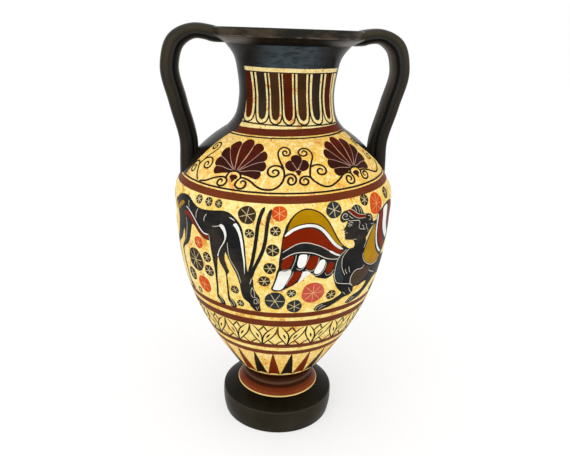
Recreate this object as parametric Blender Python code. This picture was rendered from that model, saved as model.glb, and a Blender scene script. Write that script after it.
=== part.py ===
"""Two-handled neck amphora, thrown and pulled in separate ceramic sections that are luted together.

Units are metres and +Z is up. The origin lies on the turning axis at the underside of the foot.
The handles stand at -X and +X, so the two painted faces look along -Y and +Y.
"""
import math

import bmesh
import bpy
from mathutils import Vector

# Making
JOINT_GAP = 0.0003            # slip-filled gap between pieces that are luted together
WALL = 0.0065                 # thickness of the thrown walls
TURNED_SEGMENTS = 40          # facets around a turned piece
CURVE_STEPS = 3               # facets between two points of a smooth outline
ROUND_STEPS = 3               # facets of a rounded edge
SHARP_ANGLE = 35              # degrees, above which an edge is drawn sharp
MERGE_DISTANCE = 0.000001     # points closer than this are one point

# Foot
FOOT_REST_RADIUS = 0.0578     # outer edge of the ring that it stands on
FOOT_RADIUS = 0.0593
FOOT_WIDEST_HEIGHT = 0.0110   # where the side has swelled to its full radius
FOOT_SIDE_HEIGHT = 0.0270     # height of the side, its rounded upper edge included
FOOT_UPPER_ROUND = 0.0032     # rounding between the side and the sloped top
FOOT_UPPER_TURN = 62          # degrees that this rounding turns through
FOOT_HEIGHT = 0.0340          # height of the seat under the stem
FOOT_RECESS_RADIUS = 0.0440   # recess turned into the underside
FOOT_RECESS_DEPTH = 0.0120
FOOT_RECESS_DRAFT = 0.0045    # how much the recess narrows towards its ceiling
FOOT_COIL_SIZE = 0.0045       # clay coil in the corner of the recess

# Stem
STEM_SEAT_RADIUS = 0.0436     # where the stem flares out on the foot
STEM_WAIST_RADIUS = 0.0375
STEM_WAIST_RISE = 0.0150      # height of the waist above the foot
STEM_HEIGHT = 0.0300
STEM_TENON_RADIUS = 0.0260    # tenon that goes down through the foot
STEM_TENON_PROUD = 0.0010     # how far the tenon stands out below its coil
STEM_BORE_RADIUS = 0.0190     # hollow inside of the stem

# Body, with heights measured up from the top of the stem
BODY_BASE_RADIUS = 0.0475
BODY_FLOOR = 0.0090           # thickness of the floor
BODY_TENON_LENGTH = 0.0060    # tenon under the floor, down into the stem
BODY_HEIGHT = 0.2465          # up to the seat under the neck
BELLY_RADIUS = 0.1061
BELLY_DROP = 0.0825           # from that seat down to the widest level
LOW_FLANK_INSET = 0.0341      # how much narrower than the belly the low flank is
LOW_FLANK_RISE = 0.0392
MID_FLANK_INSET = 0.0150
MID_FLANK_RISE = 0.0802
HIGH_FLANK_INSET = 0.0045
HIGH_FLANK_RISE = 0.1183
BELLY_LAP = 0.0080            # height of the lap joint between the two halves of the body
BELLY_COIL_HEIGHT = 0.0160    # clay coil over the seam, on the inside
BELLY_COIL_DEPTH = 0.0040
SHOULDER_EDGE_INSET = 0.0014  # how much narrower than the belly the shoulder's edge is
SHOULDER_EDGE_DROP = 0.0520   # from the seat under the neck down to that edge
SHOULDER_TURN_INSET = 0.0067
SHOULDER_TURN_DROP = 0.0417
SHOULDER_SLOPE_SPREAD = 0.0144  # how much wider than the neck's root the slope is
SHOULDER_SLOPE_DROP = 0.0101

# Neck, with heights measured up from the top of the body
NECK_WAIST_RADIUS = 0.0454
NECK_WAIST_RISE = 0.0265
NECK_ROOT_FLARE = 0.0116      # how much wider than the waist the neck is at its root
NECK_COVE_FLARE = 0.0040      # the same a little higher, in the cove above the root
NECK_COVE_RISE = 0.0095
NECK_COLLAR_FLARE = 0.0015    # the same at the foot of the upper flare
NECK_COLLAR_RISE = 0.0505
NECK_BELL_FLARE = 0.0050      # the same half way up that flare
NECK_BELL_RISE = 0.0648
NECK_TOP_FLARE = 0.0130       # the same under the lip
NECK_HEIGHT = 0.0755
NECK_SEAT_WIDTH = 0.0090      # ring of the shoulder that carries the neck
NECK_COIL_DROP = 0.0070       # height of the clay fillet under the shoulder
NECK_SPIGOT_PROUD = 0.0020    # how far the spigot stands out below that fillet

# Lip, with heights measured up from the top of the neck
LIP_RADIUS = 0.0700
LIP_HEIGHT = 0.0140
LIP_FACE_HEIGHT = 0.0088      # upright outer face
LIP_ROUND = 0.0015            # rounding of the face's edges
LIP_REBATE = 0.0020           # step where the lip is centred on the neck
MOUTH_RADIUS = 0.0610         # inner edge of the lip's flat top

# Handles
HANDLE_THICKNESS = 0.0174     # across the handle, in the plane of the handle
HANDLE_WIDTH = 0.0250         # along Y
HANDLE_EDGE_ROUND = 0.0055    # rounding of its four edges
HANDLE_ROUND_LIMIT = 0.45     # largest rounding, as a share of the section's smaller side
HANDLE_LIP_THICKNESS = 0.0138
HANDLE_ROOT_THICKNESS = 0.0190
HANDLE_ROOT_WIDTH = 0.0290
HANDLE_LIP_BED = 0.0050       # how far the upper end is carried in behind the lip's face
HANDLE_LIP_DROP = 0.0067      # centre line at that end, below the top of the lip
HANDLE_WAD_LENGTH = 0.0070    # clay wad between the lip's face and the pulled handle
HANDLE_CROWN_REACH = 0.0160   # crown of the arch, out from the lip
HANDLE_CROWN_DROP = 0.0044    # centre line at the crown, below the top of the lip
HANDLE_BEND_REACH = 0.0320
HANDLE_BEND_DROP = 0.0130
HANDLE_OUTER_SPREAD = 0.0025  # outermost point of the centre line, out beyond the belly
HANDLE_OUTER_DROP = 0.0330
HANDLE_MIDDLE_INSET = 0.0046  # middle of the centre line, in from the belly
HANDLE_MIDDLE_DROP = 0.0670
HANDLE_FOOT_INSET = 0.0138    # where the centre line comes down on the shoulder, in from the belly
HANDLE_FOOT_RISE = 0.0160     # upright stretch above that point
HANDLE_ROOT_BED = 0.0140      # how far the lower end is carried in below the shoulder
HANDLE_PAD_HEIGHT = 0.0120    # clay pad between the pulled handle and the shoulder
HANDLE_STEPS = 4              # facets between two points of the centre line
HANDLE_TURN_REACH = 0.0030    # length either side of a point that gives the handle's direction there

# Heights of the seats, stacked from the foot up
STEM_BOTTOM = FOOT_HEIGHT
BODY_BOTTOM = STEM_BOTTOM + STEM_HEIGHT
BELLY_RISE = BODY_HEIGHT - BELLY_DROP
BELLY_LEVEL = BODY_BOTTOM + BELLY_RISE
NECK_BOTTOM = BODY_BOTTOM + BODY_HEIGHT
LIP_BOTTOM = NECK_BOTTOM + NECK_HEIGHT
LIP_TOP = LIP_BOTTOM + LIP_HEIGHT

# Radii that two pieces share at a joint
NECK_ROOT_RADIUS = NECK_WAIST_RADIUS + NECK_ROOT_FLARE
NECK_TOP_RADIUS = NECK_WAIST_RADIUS + NECK_TOP_FLARE
SHOULDER_OPENING = NECK_ROOT_RADIUS - NECK_SEAT_WIDTH
SPIGOT_RADIUS = SHOULDER_OPENING - JOINT_GAP
BELLY_LAP_RADIUS = BELLY_RADIUS - WALL / 2
HANDLE_FOOT_RADIUS = BELLY_RADIUS - HANDLE_FOOT_INSET

# Finishes: colour, roughness
BLACK_GLAZE = ((0.020, 0.018, 0.013, 1.0), 0.38)
BROWN_SLIP = ((0.130, 0.035, 0.012, 1.0), 0.45)
YELLOW_SLIP = ((0.870, 0.570, 0.140, 1.0), 0.50)
BARE_CLAY = ((0.420, 0.170, 0.080, 1.0), 0.85)


def start_amphora():
    """Empty the scene and add the empty that every piece hangs on."""
    for item in list(bpy.data.objects):
        bpy.data.objects.remove(item)
    amphora = bpy.data.objects.new("amphora", None)
    bpy.context.scene.collection.objects.link(amphora)
    return amphora


AMPHORA = start_amphora()


def finish(name, look):
    """A plain ceramic material for one piece."""
    colour, roughness = look
    material = bpy.data.materials.new(name + "_finish")
    material.use_nodes = True
    shader = material.node_tree.nodes["Principled BSDF"]
    shader.inputs["Base Color"].default_value = colour
    shader.inputs["Roughness"].default_value = roughness
    shader.inputs["Metallic"].default_value = 0.0
    return material


def add_piece(name, shape, look):
    """Turn a bmesh into a named object that hangs on the amphora's empty."""
    bmesh.ops.recalc_face_normals(shape, faces=shape.faces)
    mesh = bpy.data.meshes.new(name)
    shape.to_mesh(mesh)
    shape.free()
    mesh.shade_smooth()
    mesh.set_sharp_from_angle(angle=math.radians(SHARP_ANGLE))
    mesh.materials.append(finish(name, look))
    piece = bpy.data.objects.new(name, mesh)
    bpy.context.scene.collection.objects.link(piece)
    piece.parent = AMPHORA
    return piece


def smooth(points, steps):
    """A cubic curve through a few points, spaced by the lengths of their chords."""
    points = [Vector(point) for point in points]
    spans = [(b - a).length for a, b in zip(points, points[1:])]
    slopes = [(b - a) / span for a, b, span in zip(points, points[1:], spans)]
    tangents = [None] * len(points)
    for i in range(1, len(spans)):
        share = spans[i - 1] / (spans[i - 1] + spans[i])
        tangents[i] = slopes[i - 1].lerp(slopes[i], share)
    tangents[0] = 1.5 * slopes[0] - 0.5 * tangents[1]
    tangents[-1] = 1.5 * slopes[-1] - 0.5 * tangents[-2]
    curve = []
    for i, span in enumerate(spans):
        for step in range(steps):
            t = step / steps
            near = points[i] * (1 + 2 * t) + tangents[i] * span * t
            far = points[i + 1] * (3 - 2 * t) - tangents[i + 1] * span * (1 - t)
            curve.append(near * (1 - t) ** 2 + far * t ** 2)
    curve.append(points[-1])
    return curve


def raised(curve, height):
    """The same (radius, height) curve, moved up."""
    return [point + Vector((0.0, height)) for point in curve]


def moved_in(curve, distance):
    """The same upward curve, moved towards the axis square to itself."""
    moved = []
    for i, point in enumerate(curve):
        along = curve[min(i + 1, len(curve) - 1)] - curve[max(i - 1, 0)]
        along.normalize()
        moved.append(point + Vector((-along.y, along.x)) * distance)
    return moved


def point_at(curve, height):
    """The point of an upward curve at one height, or its nearer end."""
    for low, high in zip(curve, curve[1:]):
        if low.y <= height <= high.y:
            return low.lerp(high, (height - low.y) / (high.y - low.y))
    return curve[0] if height < curve[0].y else curve[-1]


def between(curve, low, high):
    """The stretch of an upward curve between two heights, both ends included."""
    inside = [point for point in curve if low + MERGE_DISTANCE < point.y < high - MERGE_DISTANCE]
    return [point_at(curve, low)] + inside + [point_at(curve, high)]


def downward(curve):
    """The same curve, listed from its top."""
    return list(reversed(curve))


def height_at(curve, radius):
    """The height at which the narrowing upper part of a curve reaches one radius."""
    for high, low in zip(downward(curve), downward(curve)[1:]):
        if high.x <= radius <= low.x:
            return low.lerp(high, (low.x - radius) / (low.x - high.x)).y
    return curve[-1].y


def arc(centre, radius, first, last):
    """Points on an arc in (radius, height), with angles in degrees from outward up."""
    points = []
    for step in range(ROUND_STEPS + 1):
        angle = math.radians(first + (last - first) * step / ROUND_STEPS)
        points.append(Vector(centre) + radius * Vector((math.cos(angle), math.sin(angle))))
    return points


def turned(name, outline, look):
    """Spin an outline of (radius, height) points once around the axis.

    An outline that starts on the axis ends on it too, and any other outline is a closed loop.
    """
    shape = bmesh.new()
    corners = [shape.verts.new((point[0], 0.0, point[1])) for point in outline]
    pairs = list(zip(corners, corners[1:]))
    if outline[0][0] > 0:
        pairs.append((corners[-1], corners[0]))
    edges = [shape.edges.new(pair) for pair in pairs]
    bmesh.ops.spin(shape, geom=corners + edges, cent=(0, 0, 0), axis=(0, 0, 1), dvec=(0, 0, 0),
                   angle=2 * math.pi, steps=TURNED_SEGMENTS, use_merge=True)
    bmesh.ops.remove_doubles(shape, verts=shape.verts, dist=MERGE_DISTANCE)
    bmesh.ops.dissolve_degenerate(shape, edges=shape.edges, dist=MERGE_DISTANCE)
    return add_piece(name, shape, look)


def make_cutter(piece):
    """Hide a shape that only cuts others."""
    piece.hide_render = True
    piece.display_type = "WIRE"
    return piece


def cut(piece, cutter):
    """Take the cutter's shape out of a piece."""
    modifier = piece.modifiers.new("bed", "BOOLEAN")
    modifier.operation = "DIFFERENCE"
    modifier.solver = "EXACT"
    modifier.object = cutter


# Outer outline of the body, from the stem up to the neck
BODY_CURVE = raised(smooth([
    (BODY_BASE_RADIUS, 0.0),
    (BELLY_RADIUS - LOW_FLANK_INSET, LOW_FLANK_RISE),
    (BELLY_RADIUS - MID_FLANK_INSET, MID_FLANK_RISE),
    (BELLY_RADIUS - HIGH_FLANK_INSET, HIGH_FLANK_RISE),
    (BELLY_RADIUS, BELLY_RISE),
    (BELLY_RADIUS - SHOULDER_EDGE_INSET, BODY_HEIGHT - SHOULDER_EDGE_DROP),
    (BELLY_RADIUS - SHOULDER_TURN_INSET, BODY_HEIGHT - SHOULDER_TURN_DROP),
    (NECK_ROOT_RADIUS + SHOULDER_SLOPE_SPREAD, BODY_HEIGHT - SHOULDER_SLOPE_DROP),
    (NECK_ROOT_RADIUS, BODY_HEIGHT),
], CURVE_STEPS), BODY_BOTTOM)
BODY_INSIDE = moved_in(BODY_CURVE, WALL)
BODY_INSIDE_CLEAR = moved_in(BODY_CURVE, WALL + JOINT_GAP)
SHOULDER_CEILING = BODY_INSIDE[-1].y

# Outer outline of the neck, from the body up to the lip
NECK_CURVE = raised(smooth([
    (NECK_ROOT_RADIUS, 0.0),
    (NECK_WAIST_RADIUS + NECK_COVE_FLARE, NECK_COVE_RISE),
    (NECK_WAIST_RADIUS, NECK_WAIST_RISE),
    (NECK_WAIST_RADIUS + NECK_COLLAR_FLARE, NECK_COLLAR_RISE),
    (NECK_WAIST_RADIUS + NECK_BELL_FLARE, NECK_BELL_RISE),
    (NECK_TOP_RADIUS, NECK_HEIGHT),
], CURVE_STEPS), NECK_BOTTOM)
NECK_INSIDE = moved_in(NECK_CURVE, WALL)
LIP_STEP_RADIUS = (NECK_TOP_RADIUS + point_at(NECK_INSIDE, LIP_BOTTOM).x) / 2


def make_foot():
    """Thick disc with a sloped top, a hole for the stem's tenon and a recess underneath."""
    hole = STEM_TENON_RADIUS + JOINT_GAP
    edge_centre = Vector((FOOT_RADIUS - FOOT_UPPER_ROUND, FOOT_SIDE_HEIGHT - FOOT_UPPER_ROUND))
    side = smooth([
        (FOOT_REST_RADIUS, 0.0),
        (FOOT_RADIUS, FOOT_WIDEST_HEIGHT),
        (FOOT_RADIUS, edge_centre.y),
    ], CURVE_STEPS)
    outline = [Vector((FOOT_RECESS_RADIUS, 0.0))] + side[:-1]
    outline += arc(edge_centre, FOOT_UPPER_ROUND, 0, FOOT_UPPER_TURN)
    outline += [
        Vector((STEM_SEAT_RADIUS, FOOT_HEIGHT)),
        Vector((hole, FOOT_HEIGHT)),
        Vector((hole, FOOT_RECESS_DEPTH)),
        Vector((FOOT_RECESS_RADIUS - FOOT_RECESS_DRAFT, FOOT_RECESS_DEPTH)),
    ]
    turned("foot_disc", outline, BLACK_GLAZE)

    corner = (hole, FOOT_RECESS_DEPTH - JOINT_GAP)
    coil = [Vector(corner)] + arc(corner, FOOT_COIL_SIZE, 0, -90)
    turned("foot_luting_coil", coil, BARE_CLAY)


def make_stem():
    """Hollow stem with a narrow waist, and a tenon that goes down through the foot."""
    tenon_bottom = FOOT_RECESS_DEPTH - JOINT_GAP - FOOT_COIL_SIZE - STEM_TENON_PROUD
    outline = raised(smooth([
        (STEM_SEAT_RADIUS, JOINT_GAP),
        (STEM_WAIST_RADIUS, STEM_WAIST_RISE),
        (BODY_BASE_RADIUS, STEM_HEIGHT),
    ], 2 * CURVE_STEPS), STEM_BOTTOM)
    outline += [
        Vector((STEM_BORE_RADIUS, BODY_BOTTOM)),
        Vector((STEM_BORE_RADIUS, tenon_bottom)),
        Vector((STEM_TENON_RADIUS, tenon_bottom)),
        Vector((STEM_TENON_RADIUS, STEM_BOTTOM + JOINT_GAP)),
    ]
    turned("foot_stem", outline, BROWN_SLIP)


def make_body():
    """Bowl and shoulder dome that lap over each other at the belly, with a coil over the seam."""
    seat = BODY_BOTTOM + JOINT_GAP
    floor = seat + BODY_FLOOR
    tenon = STEM_BORE_RADIUS - JOINT_GAP
    lap_top = BELLY_LEVEL + BELLY_LAP
    bowl = [
        Vector((0.0, BODY_BOTTOM - BODY_TENON_LENGTH)),
        Vector((tenon, BODY_BOTTOM - BODY_TENON_LENGTH)),
        Vector((tenon, seat)),
    ]
    bowl += between(BODY_CURVE, seat, BELLY_LEVEL)
    bowl += [Vector((BELLY_LAP_RADIUS, BELLY_LEVEL)), Vector((BELLY_LAP_RADIUS, lap_top))]
    bowl += downward(between(BODY_INSIDE, floor, lap_top))
    bowl += [Vector((0.0, floor))]
    turned("body_lower", bowl, YELLOW_SLIP)

    dome = between(BODY_CURVE, BELLY_LEVEL + JOINT_GAP, NECK_BOTTOM)
    dome += [Vector((SHOULDER_OPENING, NECK_BOTTOM)), Vector((SHOULDER_OPENING, SHOULDER_CEILING))]
    dome += downward(between(BODY_INSIDE, lap_top + JOINT_GAP, SHOULDER_CEILING))
    dome += [
        Vector((BELLY_LAP_RADIUS + JOINT_GAP, lap_top + JOINT_GAP)),
        Vector((BELLY_LAP_RADIUS + JOINT_GAP, BELLY_LEVEL + JOINT_GAP)),
    ]
    turned("body_upper", dome, YELLOW_SLIP)

    coil_low = lap_top - BELLY_COIL_HEIGHT / 2
    coil_high = lap_top + BELLY_COIL_HEIGHT / 2
    against_wall = between(BODY_INSIDE_CLEAR, coil_low, coil_high)
    crown = Vector((point_at(BODY_INSIDE_CLEAR, lap_top).x - BELLY_COIL_DEPTH, lap_top))
    rounded = smooth([against_wall[-1], crown, against_wall[0]], CURVE_STEPS)
    turned("belly_luting_coil", against_wall + rounded[1:-1], BARE_CLAY)


def make_neck():
    """Neck with a spigot that drops through the shoulder's opening, and the fillet around it."""
    seat = NECK_BOTTOM + JOINT_GAP
    waist = NECK_BOTTOM + NECK_WAIST_RISE
    fillet_top = BODY_INSIDE_CLEAR[-1].y
    fillet_bottom = fillet_top - NECK_COIL_DROP
    spigot_bottom = fillet_bottom - NECK_SPIGOT_PROUD
    rebate = LIP_BOTTOM - LIP_REBATE
    outline = between(NECK_CURVE, seat, LIP_BOTTOM)
    outline += [Vector((LIP_STEP_RADIUS, LIP_BOTTOM)), Vector((LIP_STEP_RADIUS, rebate))]
    outline += downward(between(NECK_INSIDE, waist, rebate))
    outline += [
        Vector((point_at(NECK_INSIDE, waist).x, spigot_bottom)),
        Vector((SPIGOT_RADIUS, spigot_bottom)),
        Vector((SPIGOT_RADIUS, seat)),
    ]
    turned("neck", outline, YELLOW_SLIP)

    fillet = downward(between(BODY_INSIDE_CLEAR, fillet_bottom, fillet_top))
    fillet += [Vector((SHOULDER_OPENING, fillet_bottom)), Vector((SHOULDER_OPENING, fillet_top))]
    turned("neck_luting_coil", fillet, BARE_CLAY)


def lip_outside(grown):
    """Outer outline of the lip, from the neck to the flat top, grown by a clearance."""
    face_bottom = LIP_TOP - LIP_FACE_HEIGHT
    rounding = LIP_ROUND + grown
    low_centre = (LIP_RADIUS - LIP_ROUND, face_bottom + LIP_ROUND)
    high_centre = (LIP_RADIUS - LIP_ROUND, LIP_TOP - LIP_ROUND)
    root = Vector((NECK_TOP_RADIUS + grown, LIP_BOTTOM + JOINT_GAP - grown))
    return [root] + arc(low_centre, rounding, -60, 0) + arc(high_centre, rounding, 0, 90)


def make_lip():
    """Flared ring with an upright face, stepped over the top of the neck."""
    rebate = LIP_BOTTOM - LIP_REBATE + JOINT_GAP
    step = LIP_STEP_RADIUS - JOINT_GAP
    outline = lip_outside(0.0)
    outline += [
        Vector((MOUTH_RADIUS, LIP_TOP)),
        point_at(NECK_INSIDE, rebate),
        Vector((step, rebate)),
        Vector((step, LIP_BOTTOM + JOINT_GAP)),
    ]
    turned("lip", outline, BLACK_GLAZE)


def handle_route():
    """Centre line of a handle in its own plane, from the lip to the shoulder.

    Each point holds distance from the axis, height, thickness and width.
    """
    foot = height_at(BODY_CURVE, HANDLE_FOOT_RADIUS)
    root_thickness = (HANDLE_THICKNESS + HANDLE_ROOT_THICKNESS) / 2
    root_width = (HANDLE_WIDTH + HANDLE_ROOT_WIDTH) / 2
    along_arch = [
        (LIP_RADIUS - HANDLE_LIP_BED, HANDLE_LIP_DROP, HANDLE_LIP_THICKNESS),
        (LIP_RADIUS + HANDLE_CROWN_REACH, HANDLE_CROWN_DROP, HANDLE_LIP_THICKNESS),
        (LIP_RADIUS + HANDLE_BEND_REACH, HANDLE_BEND_DROP, HANDLE_THICKNESS),
        (BELLY_RADIUS + HANDLE_OUTER_SPREAD, HANDLE_OUTER_DROP, HANDLE_THICKNESS),
        (BELLY_RADIUS - HANDLE_MIDDLE_INSET, HANDLE_MIDDLE_DROP, HANDLE_THICKNESS),
    ]
    points = []
    for distance, drop, thickness in along_arch:
        points.append((distance, LIP_TOP - drop, thickness, HANDLE_WIDTH))
    points += [
        (HANDLE_FOOT_RADIUS, foot + HANDLE_FOOT_RISE, HANDLE_THICKNESS, HANDLE_WIDTH),
        (HANDLE_FOOT_RADIUS, foot, root_thickness, root_width),
        (HANDLE_FOOT_RADIUS, foot - HANDLE_ROOT_BED, HANDLE_ROOT_THICKNESS, HANDLE_ROOT_WIDTH),
    ]
    return smooth(points, HANDLE_STEPS)


def stretch(route, first, last):
    """The part of a route between two lengths along it, as points with the direction of the route at each."""
    lengths = [0.0]
    for a, b in zip(route, route[1:]):
        lengths.append(lengths[-1] + (b.xy - a.xy).length)

    def place(length):
        i = 1
        while i < len(route) - 1 and lengths[i] < length:
            i += 1
        share = (length - lengths[i - 1]) / (lengths[i] - lengths[i - 1])
        return route[i - 1].lerp(route[i], min(1.0, max(0.0, share)))

    def point_along(length):
        ahead = place(length + HANDLE_TURN_REACH).xy
        behind = place(length - HANDLE_TURN_REACH).xy
        return place(length), (ahead - behind).normalized()

    points = [point_along(first)]
    for length in lengths:
        if first + MERGE_DISTANCE < length < last - MERGE_DISTANCE:
            points.append(point_along(length))
    return points + [point_along(last)]


def section(thickness, width):
    """Rounded rectangle across a handle, as (across, along Y) points."""
    rounding = min(HANDLE_EDGE_ROUND, HANDLE_ROUND_LIMIT * min(thickness, width))
    across = thickness / 2 - rounding
    aside = width / 2 - rounding
    points = []
    for quarter, (u, v) in enumerate([(1, 1), (-1, 1), (-1, -1), (1, -1)]):
        points += arc((u * across, v * aside), rounding, 90 * quarter, 90 * quarter + 90)
    return points


def swept(name, route, side, look):
    """Carry the section along a stretch of the route and close both ends."""
    shape = bmesh.new()
    rings = []
    for point, along in route:
        outward = Vector((-along.y, along.x))
        ring = []
        for u, v in section(point.z, point.w):
            place = point.xy + outward * u
            ring.append(shape.verts.new((side * place.x, v, place.y)))
        rings.append(ring)
    for near, far in zip(rings, rings[1:]):
        for i in range(len(near)):
            j = (i + 1) % len(near)
            shape.faces.new((near[i], near[j], far[j], far[i]))
    shape.faces.new(rings[0])
    shape.faces.new(rings[-1])
    return add_piece(name, shape, look)


def make_handles():
    """Two pulled handles, each bedded in a wad on the lip and a pad on the shoulder."""
    axis_low = Vector((0.0, LIP_BOTTOM))
    axis_high = Vector((0.0, LIP_TOP + JOINT_GAP))
    lip_bed = make_cutter(turned("lip_bed", [axis_low] + lip_outside(JOINT_GAP) + [axis_high], BARE_CLAY))
    shoulder = between(moved_in(BODY_CURVE, -JOINT_GAP), BELLY_LEVEL, NECK_BOTTOM)
    axis_low = Vector((0.0, shoulder[0].y))
    axis_high = Vector((0.0, shoulder[-1].y))
    shoulder_bed = make_cutter(turned("shoulder_bed", [axis_low] + shoulder + [axis_high], BARE_CLAY))

    route = handle_route()
    total = sum((b.xy - a.xy).length for a, b in zip(route, route[1:]))
    wad_end = HANDLE_LIP_BED + HANDLE_WAD_LENGTH
    pad_start = total - HANDLE_ROOT_BED - HANDLE_PAD_HEIGHT
    for side, word in ((-1, "left"), (1, "right")):
        name = "handle_" + word
        wad = swept(name + "_lip_wad", stretch(route, 0.0, wad_end), side, BLACK_GLAZE)
        cut(wad, lip_bed)
        swept(name, stretch(route, wad_end + JOINT_GAP, pad_start - JOINT_GAP), side, BLACK_GLAZE)
        pad = swept(name + "_root_pad", stretch(route, pad_start, total), side, BLACK_GLAZE)
        cut(pad, shoulder_bed)


make_foot()
make_stem()
make_body()
make_neck()
make_lip()
make_handles()
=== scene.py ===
# %% [markdown]
# # A painted neck amphora
# The real pot is thrown on a wheel in sections, luted together, and painted by hand with coloured slips.
# The solids of those sections are already made and packed, so this lesson only dresses them.
# Everything is in metres and +Z is up. The handles stand at -X and +X, and the painted faces look along
# -Y and +Y.

# %% Load the solids
import math

import bmesh
import bpy
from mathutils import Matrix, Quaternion, Vector, geometry


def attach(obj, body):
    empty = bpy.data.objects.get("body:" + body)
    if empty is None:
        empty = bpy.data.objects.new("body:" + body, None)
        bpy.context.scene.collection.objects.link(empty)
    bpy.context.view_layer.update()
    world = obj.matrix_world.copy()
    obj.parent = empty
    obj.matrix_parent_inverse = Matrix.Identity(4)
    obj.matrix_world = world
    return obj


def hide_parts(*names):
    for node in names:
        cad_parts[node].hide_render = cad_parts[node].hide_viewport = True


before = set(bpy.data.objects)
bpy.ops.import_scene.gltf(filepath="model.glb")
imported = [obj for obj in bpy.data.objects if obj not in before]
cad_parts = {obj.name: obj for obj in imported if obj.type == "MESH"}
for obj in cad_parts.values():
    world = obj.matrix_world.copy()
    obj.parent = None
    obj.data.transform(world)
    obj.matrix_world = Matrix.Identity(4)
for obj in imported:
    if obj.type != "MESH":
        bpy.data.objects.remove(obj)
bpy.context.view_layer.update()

MM = 0.001

# %% [markdown]
# ## The camera
# The camera could be aimed by trial, but painted circles on a turned pot give away where it stood.
# They put it level with the lip, a little over half a metre away, turned eight degrees towards one handle.

# %% Camera
CAMERA_TURN = math.radians(8.0)
CAMERA_DISTANCE = 0.5591
CAMERA_HEIGHT = 0.3987
CAMERA_DOWN = math.radians(18.93)
CAMERA_AIM = math.radians(8.29)
CAMERA_ROLL = 0.0345
camera = bpy.data.objects.new("camera", bpy.data.cameras.new("camera"))
camera.data.sensor_width = 36.0
camera.data.lens = 36.47
camera.data.clip_start = 0.01
camera.location = (-CAMERA_DISTANCE * math.sin(CAMERA_TURN),
                   -CAMERA_DISTANCE * math.cos(CAMERA_TURN), CAMERA_HEIGHT)
sight = Vector((math.sin(CAMERA_AIM) * math.cos(CAMERA_DOWN),
                math.cos(CAMERA_AIM) * math.cos(CAMERA_DOWN), -math.sin(CAMERA_DOWN)))
camera.rotation_mode = "QUATERNION"
camera.rotation_quaternion = sight.to_track_quat("-Z", "Y") @ Quaternion((0, 0, 1), CAMERA_ROLL)
bpy.context.scene.collection.objects.link(camera)
bpy.context.scene.camera = camera
bpy.context.scene.view_settings.view_transform = "Standard"
print("camera at", tuple(round(value, 4) for value in camera.location))

# %% [markdown]
# ## The outline that everything follows
# A potter checks a pot against one profile. The same few points that shaped the solids are joined here by a
# smooth curve with many more steps, so that the wall is round and the slip can be laid on it.
# The wall is drawn a hair inside the solid, which leaves room for the thickness of the paint.

# %% Outline of the pot
PAINT_ROOM = 0.30
STEPS = 14
STEM_LINE = [(43.6, 34.0), (37.5, 49.0), (47.5, 64.0)]
BODY_LINE = [(47.5, 64.0), (72.0, 103.2), (91.1, 144.2), (101.6, 182.3), (106.1, 228.0),
             (104.7, 258.5), (99.4, 268.8), (71.4, 300.4), (57.0, 310.5)]
NECK_LINE = [(57.0, 310.5), (49.4, 320.0), (45.4, 337.0), (46.9, 361.0), (50.4, 375.3), (58.4, 386.0)]


def smooth(points, steps):
    """A cubic curve through a few points, spaced by the lengths of their chords."""
    points = [Vector(point) for point in points]
    spans = [(b - a).length for a, b in zip(points, points[1:])]
    slopes = [(b - a) / span for a, b, span in zip(points, points[1:], spans)]
    tangents = [None] * len(points)
    for i in range(1, len(spans)):
        tangents[i] = slopes[i - 1].lerp(slopes[i], spans[i - 1] / (spans[i - 1] + spans[i]))
    if len(points) == 2:
        tangents = [slopes[0], slopes[0]]
    else:
        tangents[0] = 1.5 * slopes[0] - 0.5 * tangents[1]
        tangents[-1] = 1.5 * slopes[-1] - 0.5 * tangents[-2]
    curve = []
    for i, span in enumerate(spans):
        for step in range(steps):
            t = step / steps
            near = points[i] * (1 + 2 * t) + tangents[i] * span * t
            far = points[i + 1] * (3 - 2 * t) - tangents[i + 1] * span * (1 - t)
            curve.append(near * (1 - t) ** 2 + far * t ** 2)
    curve.append(points[-1])
    return curve


def moved_in(curve, distance):
    """The same upward curve, moved towards the axis square to itself."""
    moved = []
    for i, point in enumerate(curve):
        along = (curve[min(i + 1, len(curve) - 1)] - curve[max(i - 1, 0)]).normalized()
        moved.append(point + Vector((-along.y, along.x)) * distance)
    return moved


def at_height(curve, height):
    """The point of an upward curve at one height."""
    for low, high in zip(curve, curve[1:]):
        if low.y <= height <= high.y:
            return low.lerp(high, (height - low.y) / (high.y - low.y))
    return curve[0] if height < curve[0].y else curve[-1]


def between(curve, low, high):
    """The stretch of an upward curve between two heights, both ends included."""
    inside = [point for point in curve if low + 0.01 < point.y < high - 0.01]
    return [at_height(curve, low)] + inside + [at_height(curve, high)]


STEM_CURVE = moved_in(smooth(STEM_LINE, STEPS), PAINT_ROOM)
BODY_CURVE = moved_in(smooth(BODY_LINE, STEPS), PAINT_ROOM)
NECK_CURVE = moved_in(smooth(NECK_LINE, STEPS), PAINT_ROOM)
SKIN = BODY_CURVE[:-1] + [(BODY_CURVE[-1] + NECK_CURVE[0]) / 2] + NECK_CURVE[1:]
SKIN_LENGTHS = [0.0]
for lower, upper in zip(SKIN, SKIN[1:]):
    SKIN_LENGTHS.append(SKIN_LENGTHS[-1] + (upper - lower).length)


def up_the_wall(height):
    """How far up the wall, along its curve, one height lies."""
    for i in range(1, len(SKIN)):
        if height <= SKIN[i].y:
            share = (height - SKIN[i - 1].y) / (SKIN[i].y - SKIN[i - 1].y)
            return SKIN_LENGTHS[i - 1] + share * (SKIN_LENGTHS[i] - SKIN_LENGTHS[i - 1])
    return SKIN_LENGTHS[-1]


print("length of the wall from stem to lip", round(SKIN_LENGTHS[-1], 1), "mm")

# %% [markdown]
# ## Node sums
# Materials and Geometry Nodes both do sums with Math nodes, which are slow to read as a list of links.
# One small class wraps a socket, so that a sum is written as a sum and adds its own Math nodes.

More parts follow.
